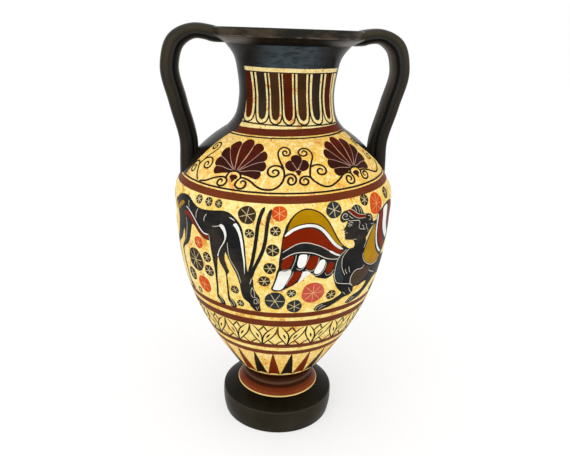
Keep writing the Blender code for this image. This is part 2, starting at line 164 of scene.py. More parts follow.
# %% A socket that can stand in a sum
class Wire:
    """A node socket. Sums on it add Math nodes, and make adds any other node."""

    def __init__(self, tree, socket):
        self.tree = tree
        self.socket = socket

    @classmethod
    def make(cls, tree, kind, settings=None, values=None, output=0):
        """Add a node: its settings come first, then the values or links of its sockets."""
        node = tree.nodes.new(kind)
        for name, setting in (settings or {}).items():
            if name == "stops":
                ramp = node.color_ramp.elements
                while len(ramp) < len(setting):
                    ramp.new(0.5)
                for stop, (place, colour) in zip(ramp, setting):
                    stop.position = place
                    stop.color = colour
            else:
                setattr(node, name, setting)
        for key, value in (values or {}).items():
            if isinstance(value, Wire):
                tree.links.new(value.socket, node.inputs[key])
            else:
                node.inputs[key].default_value = value
        return cls(tree, node.outputs[output])

    def sum_of(self, operation, first, second):
        """A Math node between two wires or numbers."""
        return Wire.make(self.tree, "ShaderNodeMath", {"operation": operation}, {0: first, 1: second})

    def __add__(self, other):
        return self.sum_of("ADD", self, other)

    def __radd__(self, other):
        return self.sum_of("ADD", other, self)

    def __sub__(self, other):
        return self.sum_of("SUBTRACT", self, other)

    def __rsub__(self, other):
        return self.sum_of("SUBTRACT", other, self)

    def __mul__(self, other):
        return self.sum_of("MULTIPLY", self, other)

    def __rmul__(self, other):
        return self.sum_of("MULTIPLY", other, self)

    def __truediv__(self, other):
        return self.sum_of("DIVIDE", self, other)

    def ramp(self, low, high):
        """A soft step from 0 at low to 1 at high."""
        return Wire.make(self.tree, "ShaderNodeMapRange", {"interpolation_type": "SMOOTHSTEP"},
                         {"Value": self, "From Min": low, "From Max": high})

    def turn(self, operation):
        """The sine or cosine of an angle."""
        return Wire.make(self.tree, "ShaderNodeMath", {"operation": operation}, {0: self})

    def axes(self, wanted="xyz"):
        """The wanted axes of a vector, each on a wire of its own."""
        return [Wire.make(self.tree, "ShaderNodeSeparateXYZ", None, {0: self}, "xyz".index(axis))
                for axis in wanted]


# %% [markdown]
# ## Finishes
# Every surface of this pot is fired clay under a thin slip, so one recipe serves for most of them.
# The ground, the black gloss and the stem have more to show, so each of those has its own.
# A slip is never one flat colour: it is thinner where the brush ran dry, clouded by the kiln, and grainy
# close up. Three noises on Object coordinates give those three scales, and the same grain lifts the surface
# a little.

# %% Slip recipe
SLIP_SHEEN = 0.03
GLOSS_SHEEN = 0.05
FOOT_SHEEN = 0.06
RUBBED_SHEEN = 0.08


def tint(red, green, blue):
    """A colour as seen on the pot, 0 to 255, as the linear colour that a shader takes."""
    return tuple(((c / 255 + 0.055) / 1.055) ** 2.4 if c > 10 else c / 255 / 12.92
                 for c in (red, green, blue)) + (1.0,)


def mixed(tree, share, first, second):
    """Two colours mixed by a share."""
    return Wire.make(tree, "ShaderNodeMix", {"data_type": "RGBA"}, {0: share, 6: first, 7: second}, 2)


def noise(tree, place, scale, detail=3.0, rough=0.55):
    """A cloudy value around 0.5."""
    return Wire.make(tree, "ShaderNodeTexNoise", None,
                     {"Vector": place, "Scale": scale, "Detail": detail, "Roughness": rough})


def object_place(tree, stretch=(1.0, 1.0, 1.0)):
    """Object coordinates, stretched along the axes."""
    place = Wire.make(tree, "ShaderNodeTexCoord", None, None, 3)
    return Wire.make(tree, "ShaderNodeMapping", None, {"Vector": place, "Scale": stretch})


def new_finish(name):
    """An empty material and its shader."""
    material = bpy.data.materials.new(name)
    material.use_nodes = True
    return material, material.node_tree, material.node_tree.nodes["Principled BSDF"]


def coat(tree, shader, colour, roughness, relief, sheen):
    """Lay a slip on a shader. Its relief is a height, a strength and a depth in metres."""
    height, strength, depth = relief
    bump = Wire.make(tree, "ShaderNodeBump", None,
                     {"Strength": strength, "Distance": depth, "Height": height})
    for socket, wire in (("Base Color", colour), ("Roughness", roughness), ("Normal", bump)):
        tree.links.new(wire.socket, shader.inputs[socket])
    shader.inputs["Specular IOR Level"].default_value = sheen


def slip(name, full, thin, gloss=0.42, cloud_scale=42.0, patchy=1.0, streaky=0.6):
    """A painted slip: its full colour, and the colour where it is thin."""
    material, tree, shader = new_finish(name)
    place = object_place(tree)
    cloud = noise(tree, place, cloud_scale, 4.0)
    brush = noise(tree, object_place(tree, (0.16, 0.16, 1.0)), 620.0, 3.0)
    grain = noise(tree, place, 1500.0, 2.0)
    thinness = (cloud - 0.5) * (2.0 * patchy) + (brush - 0.5) * streaky + (grain - 0.5) * 0.5 + 0.32
    colour = mixed(tree, thinness.ramp(0.0, 1.0), full, thin)
    roughness = (grain - 0.5) * 0.16 + (cloud - 0.5) * 0.18 + gloss
    coat(tree, shader, colour, roughness, (grain + brush * 0.6, 0.18, 0.00012), SLIP_SHEEN)
    return material


# %% Ground slip
def ground_slip():
    """The warm yellow ground: clouded, flecked, blushed orange, and of another depth from belt to belt."""
    material, tree, shader = new_finish("yellow_ground_slip")
    place = object_place(tree)
    cloud = noise(tree, place, 24.0, 4.0)
    blush = noise(tree, place, 95.0, 5.0, 0.62)
    streak = noise(tree, object_place(tree, (0.22, 0.22, 1.0)), 260.0, 4.0)
    fleck = noise(tree, place, 300.0, 4.0, 0.65)
    speck = noise(tree, place, 620.0, 3.0, 0.6)
    spark = noise(tree, place, 170.0, 2.0, 0.5)
    grain = noise(tree, place, 1700.0, 2.0)
    height = place.axes("z")[0]
    shoulder = height.ramp(0.262, 0.270) * (1.0 - height.ramp(0.306, 0.314))
    colour = mixed(tree, cloud.ramp(0.34, 0.66), tint(251, 226, 142), tint(244, 208, 98))
    bowl = 1.0 - height.ramp(0.100, 0.110)
    colour = mixed(tree, shoulder * 0.4 + bowl * 0.35, colour, tint(238, 174, 74))
    colour = mixed(tree, height.ramp(0.310, 0.318) * 0.55, colour, tint(255, 240, 186))
    colour = mixed(tree, fleck.ramp(0.50, 0.62) * 0.7, colour, tint(255, 241, 180))
    colour = mixed(tree, (1.0 - fleck.ramp(0.36, 0.48)) * 0.5, colour, tint(228, 174, 60))
    colour = mixed(tree, blush.ramp(0.57, 0.66) * 0.72, colour, tint(230, 146, 58))
    colour = mixed(tree, (speck + (blush - 0.5) * 0.6).ramp(0.62, 0.70) * 0.75, colour, tint(192, 104, 38))
    colour = mixed(tree, spark.ramp(0.67, 0.74) * 0.8, colour, tint(226, 104, 44))
    lining = Wire.make(tree, "ShaderNodeAttribute", {"attribute_name": "lining"}, None, 2)
    clay = mixed(tree, streak.ramp(0.3, 0.7), tint(164, 92, 58), tint(190, 116, 76))
    colour = mixed(tree, lining.ramp(0.4, 0.6), colour, clay)
    roughness = (grain - 0.5) * 0.14 + (blush - 0.5) * 0.2 + lining * 0.3 + 0.42
    coat(tree, shader, colour, roughness, (grain * 0.5 + streak * 0.8, 0.2, 0.00016), SLIP_SHEEN)
    return material


GROUND = ground_slip()
print("ground slip made")


# %% Black gloss
def black_gloss(name, full, thin, painted_sheen=None):
    """The black gloss, brown where it was brushed thin. A painted sheen, if any, is a painted reflection
    mid-face.
    """
    material, tree, shader = new_finish(name)
    place = object_place(tree)
    cloud = noise(tree, place, 30.0, 4.0)
    brush = noise(tree, object_place(tree, (0.3, 0.3, 1.0)), 420.0, 3.0)
    grain = noise(tree, place, 1300.0, 2.0)
    thinness = (cloud - 0.5) * 2.2 + (brush - 0.5) * 0.8 + (grain - 0.5) * 0.3 + 0.3
    colour = mixed(tree, thinness.ramp(0.0, 1.0), full, thin)
    # Painted reflection: a bluish sheen painted into the colour on the middle of each face.
    if painted_sheen:
        aside = place.axes("x")[0] + 0.003
        middle = 1.0 - (aside * aside).ramp(0.0001, 0.0012)
        colour = mixed(tree, middle * (brush.ramp(0.3, 0.6) * 0.6 + 0.4), colour, painted_sheen)
    roughness = (cloud - 0.5) * 0.2 + (grain - 0.5) * 0.12 + 0.26
    coat(tree, shader, colour, roughness, (grain * 0.6 + brush, 0.25, 0.0002), GLOSS_SHEEN)
    return material


GLOSS = black_gloss("black_gloss", tint(21, 19, 15), tint(42, 37, 30))
print("black gloss made")


# %% Gloss of the lip
def brushed_coat(tree, shader, colour, cloud, brush, roughness, sheen):
    """A gloss whose brush left fine ridges, and that is duller in some clouds than in others."""
    coat(tree, shader, colour, (cloud - 0.5) * 0.2 + roughness, (brush, 0.25, 0.0002), sheen)


def lip_gloss():
    """The lip's gloss: brown in clouds, with a painted highlight on its lower edge and painted shade
    underneath.
    """
    material, tree, shader = new_finish("lip_gloss")
    place = object_place(tree)
    aside, height = place.axes("xz")
    cloud = noise(tree, place, 34.0, 4.0)
    brush = noise(tree, object_place(tree, (0.25, 0.25, 1.0)), 420.0, 3.0)
    face = mixed(tree, (cloud + (brush - 0.5) * 0.6).ramp(0.36, 0.64), tint(32, 30, 25), tint(66, 56, 43))
    # Painted shade under the lip between the handles, and painted light on the underside near the handles.
    under = mixed(tree, (aside * aside).ramp(0.0009, 0.0022), tint(18, 12, 8), tint(74, 66, 57))
    level = height + (cloud - 0.5) * 0.0006
    # Painted highlight: a thin pale line along the lower edge of the lip.
    edge_highlight = mixed(tree, brush.ramp(0.4, 0.6), face, tint(92, 84, 74))
    colour = mixed(tree, level.ramp(0.3922, 0.3926), under, edge_highlight)
    colour = mixed(tree, level.ramp(0.3929, 0.3934), colour, face)
    colour = mixed(tree, level.ramp(0.3984, 0.3992), colour, tint(22, 20, 17))
    brushed_coat(tree, shader, colour, cloud, brush, 0.36, RUBBED_SHEEN)
    return material


LIP_GLOSS = lip_gloss()
print("lip gloss made")

# %% Gloss of the handles
# Painted light and shade across a handle: painted shade in the groove, painted highlights on the ridges and
# the inner rim.
HANDLE_PAINTED_SHADING = [
    (0.0, tint(84, 76, 66)), (0.12, tint(80, 72, 62)), (0.19, tint(58, 52, 44)), (0.25, tint(14, 13, 11)),
    (0.36, tint(11, 10, 8)), (0.42, tint(54, 55, 53)), (0.50, tint(50, 49, 45)), (0.58, tint(42, 38, 31)),
    (0.66, tint(58, 51, 38)), (0.80, tint(60, 53, 40)), (0.92, tint(46, 42, 34)), (1.0, tint(38, 35, 30))]


def handle_gloss():
    """The handles' gloss: painted shade in the long groove, and painted highlights on the ridges beside it.
    """
    material, tree, shader = new_finish("handle_gloss")
    place = object_place(tree)
    across = Wire.make(tree, "ShaderNodeAttribute", {"attribute_name": "across"}, None, 2)
    cloud = noise(tree, place, 34.0, 4.0)
    brush = noise(tree, object_place(tree, (1.0, 1.0, 0.2)), 420.0, 3.0)
    colour = Wire.make(tree, "ShaderNodeValToRGB", {"stops": HANDLE_PAINTED_SHADING},
                       {0: across * 0.5 + 0.5 + (cloud - 0.5) * 0.08})
    thickness = (cloud - 0.5) * 1.6 + (brush - 0.5) * 0.8 + 0.3
    colour = mixed(tree, thickness.ramp(0.0, 1.0) * 0.7, colour, tint(28, 26, 21))
    # Darker towards the bottom of the handles.
    low_down = 1.0 - place.axes("z")[0].ramp(0.310, 0.375)
    colour = mixed(tree, low_down * 0.5, colour, tint(17, 14, 7))
    brushed_coat(tree, shader, colour, cloud, brush, 0.38, RUBBED_SHEEN)
    return material


HANDLE_GLOSS = handle_gloss()
print("handle gloss made with", len(HANDLE_PAINTED_SHADING), "shades across")


# %% Gloss of the foot
def foot_gloss():
    """The foot's gloss: painted reflection, blackest on top and olive brown on the side; a painted edge
    highlight.
    """
    material, tree, shader = new_finish("foot_gloss")
    place = object_place(tree)
    height = place.axes("z")[0]
    cloud = noise(tree, place, 30.0, 4.0)
    brush = noise(tree, object_place(tree, (0.2, 0.2, 1.0)), 420.0, 3.0)
    share = ((cloud - 0.5) * 2.0 + (brush - 0.5) * 0.8 + 0.35).ramp(0.0, 1.0)
    # Painted reflection: the side lighter and the top darker.
    side = mixed(tree, share, tint(38, 34, 24), tint(50, 45, 32))
    above = mixed(tree, share, tint(18, 15, 8), tint(30, 25, 14))
    # Painted highlight: a thin pale line along the top edge of the foot.
    edge = height.ramp(0.0241, 0.0247) * (1.0 - height.ramp(0.0253, 0.0259)) * 0.7
    colour = mixed(tree, height.ramp(0.0246, 0.0256), side, above)
    colour = mixed(tree, edge, colour, tint(62, 57, 44))
    brushed_coat(tree, shader, colour, cloud, brush, 0.36, FOOT_SHEEN)
    return material


FOOT_GLOSS = foot_gloss()
print("foot gloss made")


# %% Slip of the stem
def stem_slip():
    """The stem's slip: red-brown, painted shade under the bowl, a painted highlight ring, a bare line at each
    end.
    """
    material, tree, shader = new_finish("red_brown_stem_slip")
    place = object_place(tree)
    height = place.axes("z")[0]
    cloud = noise(tree, place, 40.0, 4.0)
    grain = noise(tree, place, 1400.0, 2.0)
    level = height + (cloud - 0.5) * 0.002
    colour = mixed(tree, (cloud + (grain - 0.5) * 0.4).ramp(0.3, 0.7), tint(140, 68, 36), tint(122, 56, 27))
    # Painted light and shade by height: a lit flare, a dark band, a highlight ring, and shade under the bowl.
    for low, high, shade in ((0.0370, 0.0394, tint(111, 48, 20)), (0.0405, 0.0430, tint(56, 23, 7)),
                             (0.0448, 0.0462, tint(92, 62, 46)), (0.0478, 0.0492, tint(60, 33, 20)),
                             (0.0510, 0.0550, tint(42, 16, 5))):
        colour = mixed(tree, level.ramp(low, high), colour, shade)
    edge = height + (cloud - 0.5) * 0.0004
    line = 1.0 - edge.ramp(0.0348, 0.0351) * (1.0 - edge.ramp(0.0613, 0.0618))
    colour = mixed(tree, line, colour, tint(248, 214, 134))
    roughness = (cloud - 0.5) * 0.2 + (grain - 0.5) * 0.12 + 0.34
    coat(tree, shader, colour, roughness, (grain, 0.2, 0.00012), SLIP_SHEEN)
    return material


STEM_SLIP = stem_slip()
print("stem slip made")

# %% [markdown]
# ## Rolling flat work round the pot
# A wall could be spun and a pattern could be projected on it, but then the two would never quite fit.
# Here both start flat: x runs round the pot, y runs along an outline, and z stands out from the wall.
# One Geometry Nodes tree repeats the flat work, gives it the small wobble of a hand, and rolls it round
# the outline.

# %% The rolling tree
ROLL_INPUTS = [("Outline", "NodeSocketObject"), ("Drawing radius", "NodeSocketFloat"),
               ("Copies", "NodeSocketInt"), ("Spacing", "NodeSocketFloat"), ("First", "NodeSocketFloat"),
               ("Start", "NodeSocketFloat"), ("Tilt", "NodeSocketFloat"), ("Wobble", "NodeSocketFloat"),
               ("Finish", "NodeSocketMaterial")]
SHAKE_SCALE = 95.0
MEET_WITHIN = 0.000002


def rolling_tree():
    """Repeat flat work along x, let it wobble, and roll it round the outline of an object."""
    tree = bpy.data.node_groups.new("roll_round_the_pot", "GeometryNodeTree")
    tree.interface.new_socket("Geometry", in_out="OUTPUT", socket_type="NodeSocketGeometry")
    tree.interface.new_socket("Geometry", in_out="INPUT", socket_type="NodeSocketGeometry")
    names = {}
    for name, kind in ROLL_INPUTS:
        names[name] = tree.interface.new_socket(name, in_out="INPUT", socket_type=kind).identifier
    entry = tree.nodes.new("NodeGroupInput")
    given = {socket.name: Wire(tree, socket) for socket in entry.outputs if socket.name}
    radius = given["Drawing radius"]

    first = Wire.make(tree, "ShaderNodeCombineXYZ", None, {0: given["First"] * radius})
    apart = Wire.make(tree, "ShaderNodeCombineXYZ", None, {0: given["Spacing"] * radius})
    places = Wire.make(tree, "GeometryNodeMeshLine", {"mode": "OFFSET"},
                       {"Count": given["Copies"], "Start Location": first, "Offset": apart})
    copies = Wire.make(tree, "GeometryNodeInstanceOnPoints", None,
                       {"Points": places, "Instance": given["Geometry"]})
    flat = Wire.make(tree, "GeometryNodeRealizeInstances", None, {0: copies})

    position = Wire.make(tree, "GeometryNodeInputPosition")
    x, y, lift = position.axes()
    on_sheet = Wire.make(tree, "ShaderNodeCombineXYZ", None, {0: x, 1: y})
    shake = Wire.make(tree, "ShaderNodeTexNoise", None,
                      {"Vector": on_sheet, "Scale": SHAKE_SCALE, "Detail": 2.0}, 1)
    aside, above = shake.axes("xy")
    angle = (x + (aside - 0.5) * given["Wobble"]) / radius
    length = y + given["Start"] + angle.turn("SINE") * given["Tilt"] + (above - 0.5) * given["Wobble"]

    outline = Wire.make(tree, "GeometryNodeObjectInfo", None, {"Object": given["Outline"]}, 4)
    tracks = {"Curves": outline, "Length": length}
    point = Wire.make(tree, "GeometryNodeSampleCurve", {"mode": "LENGTH"}, tracks, 1)
    heading = Wire.make(tree, "GeometryNodeSampleCurve", {"mode": "LENGTH"}, tracks, 2)
    far, height = point.axes("xz")
    inward, upward = heading.axes("xz")
    far = far + lift * upward
    rolled = Wire.make(tree, "ShaderNodeCombineXYZ", None,
                       {0: far * angle.turn("SINE"), 1: 0.0 - far * angle.turn("COSINE"),
                        2: height - lift * inward})
    shape = Wire.make(tree, "GeometryNodeSetPosition", None, {"Geometry": flat, "Position": rolled})
    shape = Wire.make(tree, "GeometryNodeMergeByDistance", None, {"Geometry": shape, "Distance": MEET_WITHIN})
    shape = Wire.make(tree, "GeometryNodeRealizeInstances", None, {0: shape})
    shape = Wire.make(tree, "GeometryNodeSetMaterial", None, {"Geometry": shape, "Material": given["Finish"]})
    leave = tree.nodes.new("NodeGroupOutput")
    tree.links.new(shape.socket, leave.inputs[0])
    return tree, names


ROLL_TREE, ROLL_NAMES = rolling_tree()
print("rolling tree with", len(ROLL_TREE.nodes), "nodes")

# %% Pieces that are rolled
SHARP = math.radians(38)


def outline_object(name, points):
    """A poly curve in the XZ plane that flat work is rolled round."""
    data = bpy.data.curves.new(name, "CURVE")
    data.dimensions = "3D"
    line = data.splines.new("POLY")
    line.points.add(len(points) - 1)
    for place, point in zip(line.points, points):
        place.co = (point[0] * MM, 0.0, point[1] * MM, 1.0)
    item = bpy.data.objects.new(name, data)
    bpy.context.scene.collection.objects.link(item)
    return item


def settle(piece, stands_for=()):
    """Give a piece sharp edges by angle, let it ride on the root, and hide the solids it stands for."""
    piece.data.set_sharp_from_angle(angle=SHARP)
    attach(piece, "root")
    if stands_for:
        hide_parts(*stands_for)
    return piece


def rolled_piece(name, mesh, slot, stands_for=(), **given):
    """Roll a flat mesh round its outline and keep the result as a plain mesh."""
    piece = bpy.data.objects.new(name, mesh)
    bpy.context.scene.collection.objects.link(piece)
    roll = piece.modifiers.new("roll", "NODES")
    roll.node_group = ROLL_TREE
    for label, value in given.items():
        roll[ROLL_NAMES[label.replace("_", " ")]] = value
    graph = bpy.context.evaluated_depsgraph_get()
    finished = bpy.data.meshes.new_from_object(piece.evaluated_get(graph))
    piece.modifiers.clear()
    piece.data = finished
    bpy.data.meshes.remove(mesh)
    finished.name = name
    finished.shade_smooth()
    print(name, len(finished.vertices), "points")
    return settle(piece, stands_for)


# %% [markdown]
# ## The thrown walls
# Foot, stem, body, neck and lip are turned shapes, so each is a sheet rolled round its own closed outline.
# A Spin or Screw modifier would do as well. Rolling them with the tree means that the slip, which is rolled
# by the same tree, lies exactly on them.

# %% Turned pieces
WALL = 6.5
AROUND = 240


def turned(name, outline, lined_from, finish, slot, stands_for, around=AROUND):
    """Roll a closed outline into a wall. From one point of the outline on it is the inside of the pot."""
    outline = [Vector(point) for point in outline]
    lengths = [0.0]
    for a, b in zip(outline, outline[1:]):
        lengths.append(lengths[-1] + (b - a).length)
    count = len(outline)
    points = []
    for column in range(around + 1):
        points += [(2 * math.pi * column / around, length * MM, 0.0) for length in lengths]
    faces = []
    for column in range(around):
        for row in range(count - 1):
            corner = column * count + row
            faces.append((corner, corner + count, corner + count + 1, corner + 1))
    mesh = bpy.data.meshes.new(name + "_sheet")
    mesh.from_pydata(points, [], faces)
    lining = mesh.attributes.new("lining", "FLOAT", "POINT")
    for i, value in enumerate(lining.data):
        value.value = 1.0 if lined_from is not None and i % count >= lined_from else 0.0
    track = outline_object(name + "_outline", outline)
    piece = rolled_piece(name, mesh, slot, stands_for, Outline=track, Drawing_radius=1.0, Copies=1,
                         Spacing=0.0, First=0.0, Start=0.0, Tilt=0.0, Wobble=0.0, Finish=finish)
    bpy.data.objects.remove(track)
    return piece


def arc(centre, radius, first, last, steps=6):
    """Points on an arc in (radius, height), with angles in degrees from outward up."""
    angles = [math.radians(first + (last - first) * step / steps) for step in range(steps + 1)]
    return [Vector(centre) + radius * Vector((math.cos(angle), math.sin(angle))) for angle in angles]


# %% Body
BODY_BASE = 64.0
BODY_FLOOR = 73.3
BODY_TENON = 18.7
BODY_TENON_END = 58.0
NECK_HOLE = 48.0
SHOULDER_TOP = 310.3
BODY_INSIDE = moved_in(smooth(BODY_LINE, STEPS), WALL)
inside_top = BODY_INSIDE[-1].y
body_outline = [(0.0, BODY_TENON_END), (BODY_TENON, BODY_TENON_END), (BODY_TENON, BODY_BASE)]
body_outline += between(BODY_CURVE, BODY_BASE, BODY_CURVE[-1].y)
body_outline += [(NECK_HOLE, SHOULDER_TOP), (NECK_HOLE, inside_top)]
lined = len(body_outline)
body_outline += list(reversed(between(BODY_INSIDE, BODY_FLOOR, inside_top))) + [(0.0, BODY_FLOOR)]
turned("body_wall", body_outline, lined, GROUND, "painted_slip", ["body_lower", "body_upper"])

# %% Neck
NECK_BASE = 310.4
NECK_EDGE = 385.9
REBATE_RADIUS = 55.2
REBATE_TOP = 386.0
REBATE_FLOOR = 384.0
NECK_WAIST = 337.0
SPIGOT_RADIUS = 47.7
SPIGOT_BORE = 37.9
SPIGOT_END = 295.8
NECK_INSIDE = moved_in(smooth(NECK_LINE, STEPS), WALL)
neck_outline = between(NECK_CURVE, NECK_BASE, NECK_EDGE)
neck_outline += [(REBATE_RADIUS, REBATE_TOP), (REBATE_RADIUS, REBATE_FLOOR)]
lined = len(neck_outline)
neck_outline += list(reversed(between(NECK_INSIDE, NECK_WAIST, REBATE_FLOOR)))
neck_outline += [(SPIGOT_BORE, SPIGOT_END), (SPIGOT_RADIUS, SPIGOT_END), (SPIGOT_RADIUS, NECK_BASE)]
neck_outline += neck_outline[:1]
turned("neck_wall", neck_outline, lined, GROUND, "painted_slip", ["neck"])

# %% Lip
LIP_RADIUS = 70.0
LIP_ROUND = 1.9
LIP_UNDERSIDE = 391.3
LIP_TOP = 399.9
MOUTH_RADIUS = 61.0
MOUTH_ROUND = 1.5
LIP_SEAT = (58.2, 386.1)
STEP_RADIUS = 54.9
STEP_FLOOR = 384.3
lip_outline = [LIP_SEAT]
lip_outline += arc((LIP_RADIUS - LIP_ROUND, LIP_UNDERSIDE + LIP_ROUND), LIP_ROUND, -60, 0)
lip_outline += arc((LIP_RADIUS - LIP_ROUND, LIP_TOP - LIP_ROUND), LIP_ROUND, 0, 90)
lip_outline += arc((MOUTH_RADIUS + MOUTH_ROUND, LIP_TOP - MOUTH_ROUND), MOUTH_ROUND, 90, 150)
lip_outline += [tuple(at_height(NECK_INSIDE, STEP_FLOOR)), (STEP_RADIUS, STEP_FLOOR)]
lip_outline += [(STEP_RADIUS, LIP_SEAT[1]), LIP_SEAT]
turned("lip_ring", lip_outline, None, LIP_GLOSS, "black_gloss", ["lip"])

# %% Stem and foot
STEM_BORE = 19.0
STEM_TENON = 26.0
STEM_TENON_END = 6.2
STEM_BASE = 34.0
stem_outline = STEM_CURVE + [(STEM_BORE, BODY_BASE), (STEM_BORE, STEM_TENON_END)]
stem_outline += [(STEM_TENON, STEM_TENON_END), (STEM_TENON, STEM_BASE), STEM_CURVE[0]]
turned("stem_wall", stem_outline, None, STEM_SLIP, "brown_slip", ["foot_stem"])

FOOT_RADIUS = 59.2
FOOT_EDGE = 27.0
FOOT_ROUND = 3.2
FOOT_SEAT = 33.9
SOCKET_RADIUS = 26.3
RECESS = 12.0
edge = Vector((FOOT_RADIUS - FOOT_ROUND, FOOT_EDGE - FOOT_ROUND))
side = smooth([(57.3, 0.3), (FOOT_RADIUS, 11.0), (FOOT_RADIUS, edge.y)], 8)
foot_outline = [(45.0, 0.0), (56.7, 0.0)] + side[:-1] + arc(edge, FOOT_ROUND, 0, 62)
foot_outline += [(43.4, FOOT_SEAT), (SOCKET_RADIUS, FOOT_SEAT), (SOCKET_RADIUS, RECESS)]
foot_outline += [(39.0, RECESS), (44.4, 0.4), (45.0, 0.0)]
turned("foot_ring", foot_outline, None, FOOT_GLOSS, "black_gloss", ["foot_disc"])

# %% [markdown]
# ## Clay coils out of sight
# The coils that seal the joints from inside keep the shape of their solids. They are bare fired clay, smeared
# on by finger, so they only need that finish.

# %% Bare clay
BARE_CLAY = slip("bare_clay", tint(168, 96, 60), tint(196, 124, 84), 0.8, 60.0, 1.2, 1.0)
for coil in ("foot_luting_coil", "belly_luting_coil", "neck_luting_coil"):
    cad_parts[coil].data.materials.clear()
    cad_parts[coil].data.materials.append(BARE_CLAY)
print("coils finished")

# %% [markdown]
# ## The pulled handles
# A handle is pulled from a lump of clay with a wet hand, so it has soft edges and one long even curve, and
# it is thumbed out where it meets the lip and the shoulder. A curve with a bevel can only swell evenly, so
# the section is carried along the route in code, with its own thickness and width at each point.

# %% Route and section of a handle
HANDLE_SIDES = 44
SOFT_CORNERS = 0.72
GROOVE_DEPTH = 0.20
GROOVE_WIDTH = 0.20
ROOT_RADIUS = 92.3
LIP_END = 60.8


def shoulder_height(radius):
    """Height of the shoulder at one distance from the axis."""
    for low, high in zip(reversed(BODY_CURVE[:-1]), reversed(BODY_CURVE[1:])):
        if high.x <= radius <= low.x:
            return low.lerp(high, (low.x - radius) / (low.x - high.x)).y
    return BODY_CURVE[-1].y


ROOT = shoulder_height(ROOT_RADIUS)
HANDLE_ROUTE = smooth([
    (LIP_END, 391.4, 10.5, 26.0), (68.0, 393.2, 14.2, 25.6), (75.0, 394.9, 13.8, 24.8),
    (86.0, 395.6, 13.8, 24.6), (102.0, 387.0, 17.0, 24.6), (108.4, 367.0, 17.1, 24.6),
    (101.5, 333.0, 17.2, 24.6), (ROOT_RADIUS, ROOT + 16.0, 17.2, 24.6),
    (ROOT_RADIUS, ROOT, 17.6, 26.6), (ROOT_RADIUS, ROOT - 14.0, 18.0, 28.6)], 10)


def handle_section(thickness, width, groove):
    """A soft oval across a handle with a long groove on each face, as (across, along Y) points."""
    points = []
    for step in range(HANDLE_SIDES):
        angle = 2 * math.pi * step / HANDLE_SIDES
        across, aside = [math.copysign(abs(part) ** SOFT_CORNERS, part)
                         for part in (math.cos(angle), math.sin(angle))]
        hollow = GROOVE_DEPTH * math.exp(-((across - groove) / GROOVE_WIDTH) ** 2)
        points.append((across * thickness / 2, aside * (1 - hollow) * width / 2))
    return points


print("handles rooted", round(ROOT, 1), "mm up, on", len(HANDLE_ROUTE), "sections")

# %% Handles
UPPER_END = 380
SLANT = 0.9
SLANT_LENGTH = 9.0
PAINTED_SHADING_FROM = 0.4


def handle(name, side, groove, stands_for):
    """Carry the section along the route and close both ends."""
    shape = bmesh.new()
    rings = []
    for i, point in enumerate(HANDLE_ROUTE):
        before = HANDLE_ROUTE[max(i - 1, 0)]
        after = HANDLE_ROUTE[min(i + 1, len(HANDLE_ROUTE) - 1)]
        along = Vector((after[0] - before[0], after[1] - before[1])).normalized()
        slant = 0.0
        if point[1] > UPPER_END:
            slant = max(0.0, 1.0 - max(0.0, point[0] - LIP_END) / SLANT_LENGTH)
        ring = []
        for u, v in handle_section(point[2], point[3], groove):
            x = point[0] - along.y * u + slant * min(0.0, u) * SLANT
            z = point[1] + along.x * u
            ring.append(shape.verts.new((side * x * MM, v * MM, z * MM)))
        rings.append(ring)
    for near, far in zip(rings, rings[1:]):
        for i in range(len(near)):
            j = (i + 1) % len(near)
            shape.faces.new((near[i], near[j], far[j], far[i]))
    shape.faces.new(rings[0])
    shape.faces.new(rings[-1])
    bmesh.ops.recalc_face_normals(shape, faces=shape.faces)
    mesh = bpy.data.meshes.new(name)
    shape.to_mesh(mesh)
    shape.free()
    mesh.shade_smooth()
    mesh.materials.append(HANDLE_GLOSS)
    # Each point's place across the section, which sets the painted shade and highlights on it.
    across = mesh.attributes.new("across", "FLOAT", "POINT")
    places = [u - groove - PAINTED_SHADING_FROM for u, v in handle_section(2.0, 2.0, groove)]
    for i, value in enumerate(across.data):
        value.value = places[i % len(places)]
    piece = bpy.data.objects.new(name, mesh)
    bpy.context.scene.collection.objects.link(piece)
    print(name, len(mesh.vertices), "points")
    return settle(piece, stands_for)


# The grooves sit a little apart on the two handles, and the painted shade and highlights move with them.
LEFT_GROOVE, RIGHT_GROOVE = -0.56, -0.50
handle("pulled_handle_left", -1, LEFT_GROOVE,
       ["handle_left", "handle_left_lip_wad", "handle_left_root_pad"])
handle("pulled_handle_right", 1, RIGHT_GROOVE,
       ["handle_right", "handle_right_lip_wad", "handle_right_root_pad"])

# %% [markdown]
# ## Flat drawings
# The painter works on the round, but a pattern is easier to draw flat and roll on afterwards.
# A drawing holds thin slabs of slip: filled outlines and brush strokes that swell and taper.
# Each slab reaches a little into the wall, so that it is one closed body with no edge in the air.

# %% Drawing tools
BEDDED = 0.12
TIP = 0.3
SKIN_TRACK = outline_object("skin_outline", SKIN)


